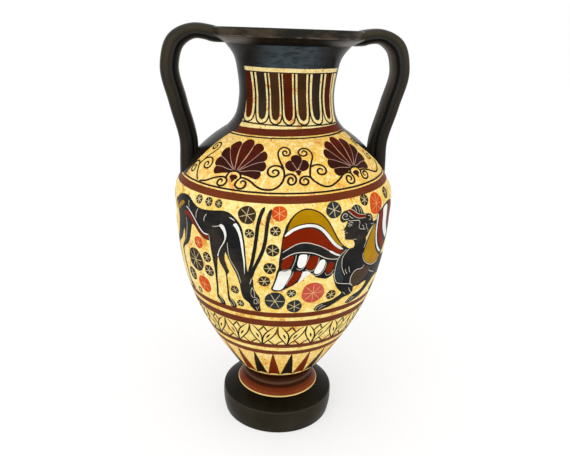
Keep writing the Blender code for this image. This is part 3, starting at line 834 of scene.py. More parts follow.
class Drawing:
    """Thin slabs of one slip, drawn flat in millimetres: x round the pot, y up the wall."""

    def __init__(self, lift):
        self.lift = lift
        self.points = []
        self.faces = []

    def slab(self, points, faces):
        """A thin closed slab over some flat faces."""
        start = len(self.points)
        count = len(points)
        self.points += [(x, y, self.lift) for x, y in points]
        self.points += [(x, y, -BEDDED) for x, y in points]
        rim = set()
        for face in faces:
            self.faces.append([start + i for i in face])
            self.faces.append([start + count + i for i in reversed(face)])
            for a, b in zip(face, face[1:] + face[:1]):
                if (b, a) in rim:
                    rim.remove((b, a))
                else:
                    rim.add((a, b))
        for a, b in sorted(rim):
            self.faces.append([start + b, start + a, start + count + a, start + count + b])

    def fill(self, outline, grid=3.5):
        """Fill a closed outline, with points inside it so that it can bend round the pot."""
        outline = [Vector(point[:2]) for point in outline]
        left, right = min(point.x for point in outline), max(point.x for point in outline)
        inside = []
        for column in range(1, int((right - left) / grid) + 1):
            x = left + column * grid
            crossings = []
            for a, b in zip(outline, outline[1:] + outline[:1]):
                if (a.x <= x) != (b.x <= x):
                    crossings.append(a.y + (b.y - a.y) * (x - a.x) / (b.x - a.x))
            crossings.sort()
            for bottom, top in zip(crossings[::2], crossings[1::2]):
                rows = int((top - bottom) / grid)
                for row in range(1, rows + 1):
                    inside.append(Vector((x, bottom + (top - bottom) * row / (rows + 1))))
        edge = list(range(len(outline)))
        filled = geometry.delaunay_2d_cdt(outline + inside, [], [edge], 1, 0.00001)
        self.slab([tuple(point) for point in filled[0]], [list(face) for face in filled[2]])

    def shape(self, points, steps=5, grid=3.5):
        """Fill a smooth closed outline through a few points."""
        points = [Vector(point) for point in points]
        count = len(points)
        curve = smooth(points[-2:] + points + points[:3], steps)
        self.fill(curve[2 * steps:(count + 2) * steps], grid)

    def stroke(self, points, width, steps=6, taper=(0.5, 0.5)):
        """A brush stroke of one width that tapers at both ends."""
        line = smooth(points, steps)
        total = sum((b - a).length for a, b in zip(line, line[1:]))
        ends = [max(0.02, share * min(total * 0.5, 3.0 * width)) for share in taper]
        ribbon = []
        done = 0.0
        for i, point in enumerate(line):
            if i:
                done += (point - line[i - 1]).length
            along = (line[min(i + 1, len(line) - 1)] - line[max(i - 1, 0)]).normalized()
            swell = min(1.0, TIP + (1 - TIP) * done / ends[0], TIP + (1 - TIP) * (total - done) / ends[1])
            aside = Vector((along.y, -along.x)) * (0.5 * width * swell)
            ribbon += [point + aside, point - aside]
        faces = [[i, i + 2, i + 3, i + 1] for i in range(0, len(ribbon) - 2, 2)]
        self.slab([tuple(point) for point in ribbon], faces)

    def bar(self, left, right, low, high, grid=2.5):
        """A straight band between two sides and two levels."""
        columns = max(1, round((right - left) / grid))
        rows = max(1, round((high - low) / grid))
        points = [(left + (right - left) * i / columns, low + (high - low) * j / rows)
                  for i in range(columns + 1) for j in range(rows + 1)]
        tall = rows + 1
        corners = [i * tall + j for i in range(columns) for j in range(rows)]
        self.slab(points, [[corner, corner + tall, corner + tall + 1, corner + 1] for corner in corners])

    def disc(self, centre, radius, steps=26):
        """A round spot, a little uneven."""
        points = []
        for step in range(steps):
            angle = 2 * math.pi * step / steps
            uneven = 0.02 * math.sin(3 * angle + centre[0]) + 0.015 * math.sin(5 * angle + centre[1])
            reach = radius * (1 + uneven)
            points.append((centre[0] + reach * math.cos(angle), centre[1] + reach * math.sin(angle)))
        self.fill(points)


# %% Painted belts
BOTH_FACES = (2, 180.0)
FIRST_COAT = 0.10
SECOND_COAT = 0.16
LINE_COAT = 0.22


class Zone:
    """One painted belt: the height of its lower edge, the radius at which it is drawn, a turn in degrees,
    a lean in degrees per millimetre, the tilt of a hand-held pot, and a rise under the handles."""

    def __init__(self, height, radius, turn=0.0, lean=0.0, tilt=0.0, rise=0.0):
        self.start = up_the_wall(height)
        self.turn = turn
        self.lean = lean
        self.tilt = tilt
        self.rise = rise
        self.radius = radius
        self.degree = math.pi * radius / 180

    def at(self, points):
        """Points given in degrees round the pot and millimetres up the wall."""
        return [((point[0] + self.lean * point[1]) * self.degree, point[1]) for point in points]

    def paint(self, name, drawing, finish, copies=1, spacing=0.0, first=0.0, wobble=0.5, slot="painted_slip"):
        """Roll a drawing on the wall, so many degrees apart."""
        mesh = bpy.data.meshes.new(name + "_flat")
        points = []
        for x, y, z in drawing.points:
            rise = self.rise * math.sin(math.radians(x / self.degree)) ** 2
            points.append((x * MM, (y + rise) * MM, z * MM))
        mesh.from_pydata(points, [], drawing.faces)
        return rolled_piece(name, mesh, slot, Outline=SKIN_TRACK, Drawing_radius=self.radius * MM,
                            Copies=copies, Spacing=math.radians(spacing),
                            First=math.radians(first + self.turn), Start=self.start * MM,
                            Tilt=self.tilt * MM, Wobble=wobble * MM, Finish=finish)

    def ring(self, drawing, low, high):
        """A band all the way round."""
        drawing.bar(-180 * self.degree, 180 * self.degree, low, high, self.degree * 2.0)


LOWER = Zone(64.0, 76.0, -0.7, 0.0, 0.4)
BELLY = Zone(159.4, 103.0, 0.6, -0.007, 1.4)
SHOULDER = Zone(270.0, 80.0, -0.2, -0.016, 2.7, 1.0)
SHOULDER_EDGE = Zone(270.0, 80.0, -0.2, 0.0, 3.2, 1.5)
NECK_ROOT = Zone(311.0, 46.0, 0.0, 0.0, 2.3)
NECK = Zone(311.0, 46.0)
print("belts start", [round(zone.start) for zone in (LOWER, BELLY, SHOULDER, NECK)], "mm up the wall")

# %% [markdown]
# ## Bands
# Bands are the easiest part of the real painting: the pot turns on the wheel and a loaded brush is held
# against it.
# Each is a strip that goes once round, so its two ends meet and are merged.

# %% Red-brown bands and black lines
BAND_SLIP = slip("red_brown_band_slip", tint(102, 45, 19), tint(120, 58, 32), 0.4, 36.0)
NECK_BAND_SLIP = slip("dark_brown_band_slip", tint(88, 34, 16), tint(110, 46, 22), 0.36, 36.0)
LINE_SLIP = slip("black_line_slip", tint(24, 19, 14), tint(52, 40, 28), 0.45)
BANDS = [("lower_bands", LOWER, BAND_SLIP, [(44.6, 51.0), (56.8, 62.6), (89.8, 97.4), (101.8, 107.4)]),
         ("shoulder_band", SHOULDER_EDGE, BAND_SLIP, [(-7.9, -1.2)]),
         ("shoulder_edge_line", SHOULDER_EDGE, LINE_SLIP, [(0.2, 1.8)]),
         ("neck_root_band", NECK_ROOT, NECK_BAND_SLIP, [(-0.3, 7.1)]),
         ("shoulder_top_line", SHOULDER, LINE_SLIP, [(55.8, 57.4)])]
for name, zone, finish, levels in BANDS:
    drawing = Drawing(FIRST_COAT)
    for low, high in levels:
        zone.ring(drawing, low, high)
    zone.paint(name, drawing, finish)

# %% [markdown]
# ## Black zones
# Black gloss covers the neck above the tongues, and the strips under the handles that part the two faces.
# On the shoulder those strips spread towards the neck, so they are drawn as outlines and filled.

# %% Black zones of the neck and shoulder
# The top of the neck carries a painted bluish reflection on the middle of each face.
GLOSS_WITH_PAINTED_SHEEN = black_gloss("black_gloss_with_painted_sheen", tint(22, 21, 18), tint(38, 36, 32), tint(64, 74, 80))
PANEL = [-61.5 * NECK.degree, 64.0 * NECK.degree]
drawing = Drawing(SECOND_COAT)
drawing.bar(PANEL[1], 180 * NECK.degree + PANEL[0], -1.2, 60.0)
NECK.paint("neck_black", drawing, GLOSS, *BOTH_FACES)
drawing = Drawing(SECOND_COAT)
NECK.ring(drawing, 59.7, 84.0)
NECK.paint("neck_top_black", drawing, GLOSS_WITH_PAINTED_SHEEN)
drawing = Drawing(SECOND_COAT)
border = [(76.0, -0.8), (75.4, 6.0), (72.8, 16.0), (67.5, 28.0), (65.0, 40.0), (69.0, 52.0), (73.0, 63.0)]
other = [
    (117.2, 63.0), (114.7, 52.0), (112.2, 40.0), (110.2, 28.0), (108.0, 16.0), (106.0, 6.0), (104.5, -0.8)]
drawing.fill(smooth(SHOULDER.at(border), 4) + smooth(SHOULDER.at(other), 4), 3.0)
SHOULDER.paint("shoulder_black", drawing, GLOSS, *BOTH_FACES)

# %% [markdown]
# ## Tongues on the neck
# A row of hanging tongues fills the neck between the black zones: a dark core, a margin of bare ground, and
# a black line that bends round its foot. They were spaced by eye, wider towards the sides, so each has its
# own place.

# %% Tongues
TONGUE_RED = slip("dark_red_tongue_slip", tint(72, 24, 8), tint(96, 36, 14), 0.4)
TONGUE_BLACK = slip("dark_tongue_slip", tint(44, 36, 28), tint(62, 50, 38), 0.4)
TONGUE_BROWN = slip("brown_tongue_slip", tint(60, 38, 20), tint(80, 50, 27), 0.4)
TONGUES = [(-54.0, 1.16, "red"), (-34.9, 1.04, "black"), (-19.0, 0.93, "brown"), (-4.4, 0.90, "red"),
           (11.4, 0.97, "brown"), (29.0, 1.08, "black"), (48.6, 1.12, "red")]
TONGUE_LEAN = -3.6
TONGUE_FOOT = 15.0
TONGUE_LENGTH = 40.0
TONGUE_LINES = [(9.5, 10.8), (55.2, 56.2)]


def mirrored(points):
    """The other half of an even motif, back from its end to its start."""
    return [(-x, y) for x, y in reversed(points)]


half = [(-2.6, 56.0), (-5.1, 56.0), (-5.1, 48.0), (-5.1, 36.0), (-5.05, 25.0), (-4.6, 19.5), (-3.1, 15.9)]
CORE = [(0.0, 56.0)] + half + [(0.0, 14.4)] + mirrored(half)
half = [(-8.3, 56.0), (-8.3, 45.0), (-8.25, 33.0), (-8.1, 23.0), (-7.4, 17.5), (-5.2, 13.0)]
EDGE = half + [(0.0, 10.9)] + mirrored(half)


def tongue(points, place, width):
    """Points of one tongue at its place, a little wider at the top than at the foot."""
    return NECK.at([(x * width + place + TONGUE_LEAN * (y - TONGUE_FOOT) / TONGUE_LENGTH, y)
                    for x, y in points])


edges = Drawing(SECOND_COAT)
for label, finish in (("red", TONGUE_RED), ("black", TONGUE_BLACK), ("brown", TONGUE_BROWN)):
    drawing = Drawing(FIRST_COAT)
    for place, width, kind in TONGUES:
        if kind == label:
            drawing.fill(tongue(CORE, place, 0.5 + 0.5 * width), 3.0)
            edges.stroke(tongue(EDGE, place, width), 1.3, 8, (0.1, 0.1))
    NECK.paint("tongues_" + label, drawing, finish, *BOTH_FACES)
NECK.paint("tongue_edges", edges, LINE_SLIP, *BOTH_FACES)
drawing = Drawing(FIRST_COAT)
for low, high in TONGUE_LINES:
    drawing.bar(*PANEL, low, high)
NECK.paint("tongue_lines", drawing, LINE_SLIP, *BOTH_FACES)

# %% [markdown]
# ## Rays above the stem
# Tall rays, red and black in turn, stand on the stem and point up the bowl. Twelve of each go round.

# %% Rays
RAYS = 24
FIRST_RAY = -11.4
RAY_RED = slip("red_ray_slip", tint(104, 34, 5), tint(124, 50, 18), 0.4)
RAY_BLACK = slip("black_ray_slip", tint(24, 17, 11), tint(44, 33, 22), 0.4)
half = [(7.4, 0.5), (5.4, 10.0), (3.9, 20.0), (2.4, 30.0), (1.0, 40.0), (0.25, 44.8)]
drawing = Drawing(FIRST_COAT)
drawing.fill(LOWER.at(half + mirrored(half)), 2.6)
LOWER.paint("rays_red", drawing, RAY_RED, RAYS // 2, 720 / RAYS, FIRST_RAY)
LOWER.paint("rays_black", drawing, RAY_BLACK, RAYS // 2, 720 / RAYS, FIRST_RAY + 360 / RAYS)

# %% [markdown]
# ## Leaf chain
# Under the animals runs a chain of slender leaves: they lean to and fro and meet by turns above and below.
# One pair is drawn, first its pale fill and then all its strokes, and goes round twenty-one times.

# %% Leaf chain
LEAVES = 21
FIRST_LEAF = 0.8
LEAF_TOP = 89.4
LEAF_LENGTH = 28.0
LEAF_LEAN = 2.2
LEAF_WOBBLE = 0.9
LEAF_PALE = slip("pale_leaf_slip", tint(252, 228, 144), tint(242, 202, 108), 0.5)
half = 180.0 / LEAVES
NEAR_EDGE = [
    (half - 0.3, LEAF_TOP), (half - 0.4, 84.0), (half - 1.0, 79.0), (half - 2.5, 74.0), (half - 4.7, 69.0),
    (half - 6.7, 65.0), (0.3, 61.2)]
FAR_EDGE = [
    (half - 1.7, LEAF_TOP), (half - 4.8, 84.0), (half - 6.9, 79.0), (half - 8.0, 74.0), (0.2, 68.0),
    (0.15, 61.2)]
LEAF_STROKES = [(NEAR_EDGE, 1.2, 2.2), (FAR_EDGE, 1.2, 2.2),
                ([(half - 4.2, 78.5), (half - 5.2, 75.5), (half - 6.0, 72.0)], 1.6, 0.6),
                ([(0.0, LEAF_TOP), (1.3, 85.5), (3.0, 82.0)], 1.25, 0.5),
                ([(half - 5.0, 69.0), (half - 2.2, 65.0), (half + 0.2, 61.0)], 1.25, 0.5)]


def leaning(points, flip):
    """One side of the pair, with the lean of the whole chain."""
    return LOWER.at([(flip * x - LEAF_LEAN * (LEAF_TOP - y) / LEAF_LENGTH, y) for x, y in points])


pale, drawing = Drawing(FIRST_COAT), Drawing(SECOND_COAT)
for flip in (-1, 1):
    pale.fill(leaning(NEAR_EDGE + FAR_EDGE[::-1], flip), 3.0)
    for points, width, taper in LEAF_STROKES:
        drawing.stroke(leaning(points, flip), width, 5, (taper, 0.7))
LOWER.paint("leaves_pale", pale, LEAF_PALE, LEAVES, 360.0 / LEAVES, FIRST_LEAF, LEAF_WOBBLE)
LOWER.paint("leaf_chain", drawing, LINE_SLIP, LEAVES, 360.0 / LEAVES, FIRST_LEAF, LEAF_WOBBLE)

# %% [markdown]
# ## Palmettes and scrolls on the shoulder
# Each face of the shoulder carries two large fan palmettes, a bud between them, and black scrolls that
# link them.
# A palmette is built as the painter builds it: petal by petal, then the thin lines that part the petals.
# The scrolls are long strokes that wind up into spirals.

# %% Palmettes
PETAL_DARK = slip("dark_petal_slip", tint(46, 18, 10), tint(66, 26, 14), 0.4, 60.0)
PETAL_RED = slip("red_petal_slip", tint(62, 17, 5), tint(100, 29, 9), 0.4, 60.0)
PARTING = slip("pale_parting_line", tint(196, 156, 140), tint(156, 112, 96), 0.5)
half = [(-2.2, 30), (-4.2, 42), (-4.7, 48), (-3.4, 51.7)]
TOP_PETAL = [(0, 18)] + half + [(0, 53.4)] + mirrored(half)
SIDE_PETALS = [
    [(0.6, 18), (3.0, 30), (5.0, 42), (5.4, 46.5), (7.2, 49.0), (9.8, 49.2), (12.2, 46.8), (13.6, 42.8),
     (12.4, 39.6), (8, 30)],
    [(1.0, 18), (7, 29), (12.4, 38.8), (14.3, 40.7), (16.2, 39.0), (17.2, 35), (16.8, 31.8), (15.4, 30.0),
     (8, 25)],
    [(1.5, 18), (8, 25), (13, 28.6), (15.8, 29.6), (17.2, 27), (17.4, 23.5), (16.4, 20.8), (14.6, 19.8),
     (8, 19.8)],
    [(2.4, 17.6), (8, 19.4), (14.6, 19.6), (15.2, 17), (14.6, 14.3), (13, 12.3), (11.0, 12.9), (8, 14.4),
     (4.6, 15.4)]]
PARTINGS = [
    [(0.7, 19), (2.6, 30), (4.5, 42), (5.1, 48)],
    [(1.1, 19), (7, 29), (12.6, 40.2)],
    [(1.5, 18.8), (7.5, 24.8), (12.5, 28.5), (16.2, 29.8)],
    [(2.0, 18.4), (5, 18.7), (9, 20), (15, 20.0)]]
HEART = [
    (0, 7.2), (-0.9, 9.6), (-2.3, 11.7), (-2.2, 13.4), (-0.8, 14.4), (0.9, 14.4), (2.3, 13.4), (2.3, 11.7),
    (0.9, 9.6)]
ARCH = [(-4.0, 9.4), (-4.2, 13.5), (-3.2, 16.5), (0, 17.9), (3.2, 16.5), (4.2, 13.5), (4.0, 11.0)]
PALMETTES = [(-35.4, 0.0), (37.4, 1.0)]
PARTING_WIDTH = 0.5
ARCH_WIDTH = 1.7


def shifted(points, place, flip=1):
    """Points of a motif, moved to its place in degrees and millimetres."""
    return SHOULDER.at([(flip * x + place[0], y + place[1]) for x, y in points])


dark, red = Drawing(FIRST_COAT), Drawing(FIRST_COAT)
lines, black = Drawing(SECOND_COAT), Drawing(SECOND_COAT)
for place in PALMETTES:
    red.shape(shifted(TOP_PETAL, place))
    for flip in (-1, 1):
        for i, petal in enumerate(SIDE_PETALS):
            (red if i == 0 else dark).shape(shifted(petal, place, flip)[::flip])
        for points in PARTINGS:
            lines.stroke(shifted(points, place, flip), PARTING_WIDTH)
    dark.shape(shifted(HEART, place))
    black.stroke(shifted(ARCH, place), ARCH_WIDTH)
print(len(PALMETTES), "palmettes on each face")

# %% Bud between the palmettes
BUD = [
    [(0.2, 23), (-1.6, 28), (-3.2, 32), (-2.8, 35.8), (0.2, 37.5), (3.2, 35.8), (3.7, 32), (2.0, 28)],
    [(-0.4, 22), (-2.6, 20.9), (-5.6, 22.7), (-7.0, 26.2), (-6.0, 30.2), (-3.8, 31.8), (-2.3, 29.8),
     (-0.9, 26)],
    [(1.0, 22), (3.4, 20.9), (6.0, 22.7), (7.6, 26.6), (6.8, 30.9), (4.6, 32.2), (3.0, 30), (1.5, 26)],
    [(0.7, 16.8), (-0.6, 19.4), (-1.2, 21.3), (0.5, 22.0), (2.5, 21.3), (1.9, 19.4)]]
for petal in BUD:
    dark.shape(SHOULDER.at(petal))
BUD_PARTINGS = [[(0.0, 22.6), (-1.4, 26.5), (-2.7, 30.2)], [(0.9, 22.6), (2.2, 26.5), (3.4, 30.6)],
                [(-1.4, 21.6), (0.6, 22.2), (2.6, 21.6)]]
for points in BUD_PARTINGS:
    lines.stroke(SHOULDER.at(points), PARTING_WIDTH)
SHOULDER.paint("palmettes_dark", dark, PETAL_DARK, *BOTH_FACES)
SHOULDER.paint("palmettes_red", red, PETAL_RED, *BOTH_FACES)
SHOULDER.paint("palmette_partings", lines, PARTING, *BOTH_FACES)

# %% Scrolls
SCROLLS = [
    [(-57.5, 2.2), (-52, 4.5), (-48, 8), (-44, 10.3), (-41, 11), (-39, 9.5), (-38.7, 6), (-40.4, 3.2),
     (-42.5, 2.7), (-44, 4.4), (-43.8, 7), (-42.5, 8.6), (-41.3, 7.4), (-41.7, 5.8)],
    [(-31.4, 11.6), (-33, 8), (-33, 5), (-31.5, 3.2), (-29.5, 2.9), (-27.8, 4.5), (-27.3, 7), (-28, 9.4),
     (-29.3, 9.9), (-30.3, 8.7), (-29.6, 7.2)],
    [(-31.8, 11.8), (-30, 12.6), (-28, 12), (-25, 10), (-22, 6.5), (-19, 4.2), (-16, 3.7), (-13, 4.3),
     (-10.8, 6.3), (-8.8, 10), (-7.4, 15), (-7.3, 19), (-7.8, 23), (-9.4, 29), (-11, 34.5), (-11.6, 40),
     (-10.7, 43.5), (-8.7, 45.6), (-6.8, 45.9), (-4.7, 44.5), (-3.5, 41.5), (-3.8, 38.5), (-5.5, 36.7),
     (-7.3, 36.9), (-8.4, 38.7), (-8.2, 41), (-7, 41.9), (-5.9, 41), (-5.8, 39.4), (-6.7, 38.9)],
    [(-7.8, 22.4), (-9.8, 25.6), (-12, 26.4), (-14.5, 25.5), (-16.3, 22.8), (-16.6, 19.5), (-15.5, 16.8),
     (-13.5, 15.7), (-11.3, 17), (-10.4, 19.5), (-11, 21.6), (-12.7, 22.2), (-13.8, 20.8), (-13.5, 19.2),
     (-12.6, 18.9)],
    [(-7.4, 15), (-6, 17.3), (-4.3, 18.4), (-2.4, 17.7), (-1.2, 15.3), (-1.2, 12), (-2.2, 9.5), (-3.9, 8.7),
     (-5.2, 10.1), (-5.3, 12.8), (-4.5, 14.8), (-3.3, 14.8), (-2.7, 13), (-3.2, 11.5)],
    [(7.2, 14.3), (6, 15.4), (4.3, 16), (2.4, 15.3), (1, 13), (1, 10.3), (2, 8.7), (3.8, 8.4), (5.2, 10),
     (5.2, 12.5), (4.2, 13.8), (3, 13), (3.2, 11.4)],
    [(8.2, 24.6), (10.5, 26), (13, 26.3), (15.8, 25), (17.2, 22), (16.9, 18.8), (15.2, 16.8), (13, 16.9),
     (11.8, 19), (12.2, 21.6), (13.8, 22.4), (15, 21.2), (14.6, 19.8)],
    [(33.2, 13.2), (31.6, 15), (29.5, 15.3), (27.3, 14.2), (24, 10.8), (20, 7.2), (17.5, 5.5), (15, 5.4),
     (12.5, 6.7), (10, 9.5), (8, 12.5), (7.0, 15.5), (7.3, 20), (8.3, 25.5), (10, 31), (11.3, 36), (11, 40),
     (9.5, 43), (7, 44.4), (5, 44.2), (3, 42.5), (2.2, 40), (2.8, 37.6), (4.6, 36.3), (6.7, 36.7),
     (8, 38.5), (7.6, 40.8), (6, 41.7), (4.8, 40.6), (5.2, 39.1)],
    [(32.6, 14.4), (33.6, 11.5), (33.8, 8.4), (33, 6), (31.2, 4.6), (29.3, 5.2), (28.2, 7.5), (28.4, 10.4),
     (29.6, 12.1), (31, 11.8), (31.8, 9.7), (31.1, 7.8), (30.2, 8.2)],
    [(42.0, 14.6), (41.2, 12), (40.8, 9), (41.4, 6.5), (43.5, 5.4), (45.8, 6.6), (46.7, 9), (46, 11.4),
     (44.2, 12.2), (42.9, 10.8), (43.1, 8.8), (44.3, 8.4)],
    [(41.6, 13.6), (43.4, 14.6), (46, 13.8), (50, 11.8), (54, 8.8), (57.3, 7.0), (60.5, 7.2), (64.5, 9.4),
     (68.5, 13.2), (70.0, 16.6)]]
print(len(SCROLLS), "scrolls")

# %% Chain of scrolls by one handle
CHAIN = [
    [(59, 2.2), (61, 5), (63.5, 10), (65.5, 15), (67.3, 18.2), (69.6, 18.6), (71.3, 16.4), (71.7, 12.4),
     (70.8, 8.6), (69.2, 7.2), (67.7, 8.8), (67.5, 11.8), (68.4, 14.0), (69.7, 13.4), (69.9, 11.2)],
    [(65.6, 15.6), (65.1, 19.6), (63.3, 23.3), (60.6, 25.4), (58, 25.8), (56, 24.3), (54.8, 21.5),
     (54.6, 18.3), (55.7, 15.8), (58, 14.9), (60.2, 16.3), (60.7, 19), (59.6, 20.9), (57.9, 20.5),
     (57.4, 18.7), (58.3, 17.8)],
    [(64.6, 21), (62.6, 27), (60.6, 31), (59.1, 35), (58.7, 38.5), (59.7, 41.3), (62, 42.8), (64.3, 42.2),
     (66, 39.8), (66, 36.8), (64.6, 34.8), (62.6, 35.2), (61.8, 37.4), (62.7, 39.4), (64.1, 38.8),
     (64.1, 37.3)]]
SCROLL_TAPER = (0.2, 0.7)
for points in SCROLLS:
    black.stroke(SHOULDER.at(points), 1.65, 6, SCROLL_TAPER)
for points in CHAIN:
    black.stroke(SHOULDER.at([(-x, y) for x, y in points]), 1.5, 6, SCROLL_TAPER)
for points, aside, up, size in ((CHAIN[1][4:], 5.3, 4.4, 0.95), (CHAIN[2][2:], 0.2, 3.4, 0.8)):
    x0, y0 = points[-1]
    moved = [((x - x0) * size + x0 + aside, (y - y0) * size + y0 + up) for x, y in points]
    black.stroke(SHOULDER.at(moved), 1.4, 6, SCROLL_TAPER)
SHOULDER.paint("shoulder_scrolls", black, LINE_SLIP, *BOTH_FACES)

# %% [markdown]
# ## The animal frieze
# Round the belly go grazing ibexes and crouching sphinxes, in the old eastern-looking black-figure manner:
# black bodies, red, ochre and white laid over the black, and lines scratched through to the pale ground.
# The strip is drawn once, layer by layer in that order, and goes round twice, half a turn apart.

# %% Black of the ibex
FIGURE_BLACK = slip("black_figure_slip", tint(25, 26, 28), tint(64, 56, 46), 0.4, 26.0, 1.3)
IBEX = [
    (-62, 99.3), (-59.5, 98.4), (-57, 96), (-54.5, 93.8), (-52, 92.4), (-48, 92.1), (-44, 92.9),
    (-40, 94.1), (-37, 94.9), (-35, 95), (-33, 94.1), (-31, 92), (-29, 89), (-27.5, 85.5), (-26.5, 81.5),
    (-26, 77), (-25.5, 70), (-25.1, 62), (-24.9, 54), (-24.7, 48), (-24.3, 43), (-23.4, 40), (-22.2, 37.5),
    (-21.7, 33), (-21.6, 28), (-21.2, 24), (-20.2, 20.5), (-19.2, 18), (-18.8, 15), (-18.9, 10), (-18.8, 5),
    (-18.7, 1.2), (-20.2, 0.6), (-21.6, 1.0), (-22.6, 2.8), (-23.8, 5.6), (-24.8, 9), (-25.9, 10.8),
    (-27.4, 13), (-28.2, 17), (-28.6, 22), (-28.9, 28), (-29.5, 33), (-30.6, 39), (-32.1, 44.5),
    (-33.6, 49.8), (-34.8, 55), (-35.5, 57.5), (-36.1, 54), (-36.2, 50), (-35.6, 46), (-34.9, 42.5),
    (-34.2, 39.3), (-34.7, 37.3), (-35.3, 35.5), (-35.4, 28), (-35.6, 20), (-35.7, 14), (-35.3, 10.5),
    (-34.2, 9.3), (-33, 6.5), (-32.3, 2.5), (-32.6, 0.8), (-35.5, 0.8), (-36.2, 4), (-37.0, 8), (-37.0, 12),
    (-36.6, 20), (-36.4, 28), (-36.3, 36), (-36.8, 39), (-38.2, 43), (-39.4, 47), (-40.0, 51.5),
    (-40.4, 50), (-40.8, 44), (-41.3, 37), (-41.8, 29), (-42.1, 22), (-42.6, 15), (-43.0, 10.5), (-42.0, 9),
    (-40.4, 6.5), (-39.5, 3), (-39.6, 0.8), (-42.7, 0.8), (-43.6, 4), (-44.4, 8), (-44.2, 12), (-43.5, 19),
    (-43.1, 26), (-43.0, 33), (-43.1, 40), (-43.5, 46), (-44.0, 53), (-44.5, 60), (-44.9, 64.5),
    (-46.4, 64.5), (-49, 65.2), (-51.5, 67.6), (-54, 71), (-56.3, 74.2), (-57.6, 74.5), (-58.6, 71),
    (-59.4, 66), (-60.3, 61), (-61.6, 56.5), (-63.2, 53), (-65.6, 50), (-68.2, 47.2), (-70, 44),
    (-70.6, 38), (-70.4, 30), (-70.3, 22), (-70.6, 14), (-70, 10), (-68.6, 8.6), (-67.4, 5.5), (-66.8, 2),
    (-67.2, 0.8), (-70.7, 0.8), (-71.6, 5), (-72.1, 10), (-71.9, 18), (-71.8, 26), (-72, 34), (-72.2, 40),
    (-71.8, 45), (-70.2, 48.6), (-67.9, 52.5), (-66.6, 57.5), (-66.2, 63), (-66.6, 66), (-67.6, 63.5),
    (-69, 59), (-71, 54.5), (-74, 50.5), (-77.2, 47.2), (-79.4, 43.5), (-80.2, 37), (-80.1, 28),
    (-80.3, 18), (-80.4, 11), (-79.4, 9), (-78, 6), (-77.4, 2.5), (-77.8, 0.8), (-81.5, 0.8), (-82.3, 5),
    (-82.6, 11), (-82.3, 20), (-82.1, 30), (-82.2, 38), (-82, 44.5), (-80.2, 49.5), (-77.4, 55),
    (-75.4, 61), (-74.2, 67), (-73.8, 73), (-74.2, 79), (-75, 84), (-75.2, 88.5), (-74, 92.5),
    (-71.5, 95.8), (-68.5, 98), (-65, 99.3)]
HORNS = [
    [(-23.9, 35), (-23, 44), (-21.9, 52), (-20.8, 62), (-19.8, 75), (-18.8, 88), (-17.4, 97), (-16.2, 102)],
    [(-22.6, 37), (-21.4, 44), (-19.5, 52), (-17.1, 62), (-15.7, 72), (-14.9, 84), (-14.1, 94),
     (-13.0, 100.5)]]
IBEX_TAIL = [(-74.6, 91), (-76.6, 88.5), (-77.6, 84), (-77.2, 79)]
black = Drawing(FIRST_COAT)
black.shape(BELLY.at(IBEX), 3)
for horn in HORNS:
    black.stroke(BELLY.at(horn), 3.1, 6, (0.1, 0.25))
black.stroke(BELLY.at(IBEX_TAIL), 3.0, 6, (0.1, 1.0))
print("ibex drawn with", len(IBEX), "points")

# %% Wings of the sphinx
LEFT_WING = [
    (-9.6, 47), (-9.2, 55.1), (-8.8, 60.4), (-8.5, 65), (-8.1, 71), (-7.7, 77), (-7.0, 82), (-6.2, 87.1),
    (-5.0, 91.1), (-3.4, 95.2), (-1.5, 98.3), (0.7, 100.5), (3.2, 101.5), (5.6, 100.8), (8, 99.2), (10, 97),
    (11.9, 93.5), (13.6, 89.5), (15.1, 85.2), (16.4, 80.8), (17.7, 76.6), (19.2, 72.3), (20.9, 68.2),
    (22.9, 64.5), (24.9, 62.1), (25.9, 60.8), (24.4, 57.7), (21.9, 54.7), (19.9, 50.6), (18.7, 45.6),
    (18, 40.5), (17, 37.5), (14.2, 35.2), (11.4, 36.4), (8.9, 38), (7.2, 40.4), (6, 42.8), (3.6, 39.8),
    (0.7, 35.2), (-2.2, 31.1), (-5.5, 27.5), (-8.4, 25.1), (-12, 24.9), (-12.9, 27), (-12.1, 31),
    (-11.3, 36), (-10.6, 41), (-10.2, 45)]
RIGHT_WING = [
    (44.6, 81), (45.4, 86.1), (49.4, 89.3), (53.4, 91.6), (57.4, 92.6), (61.4, 92.2), (65.4, 89.7),
    (68.4, 85.1), (69.9, 79), (70.2, 71.9), (69.4, 64.8), (67.4, 58.2), (64.4, 52.7), (60.4, 46.6),
    (56.9, 41), (53.9, 36), (49.4, 34.2), (45.4, 35), (41.6, 37.5), (38.4, 41.3), (36.4, 45.6),
    (35.7, 50.1), (36, 55.7), (37.4, 62.3), (39.4, 68.4), (41.2, 73.4), (43.4, 78.5)]
print("wings drawn with", len(LEFT_WING) + len(RIGHT_WING), "points")

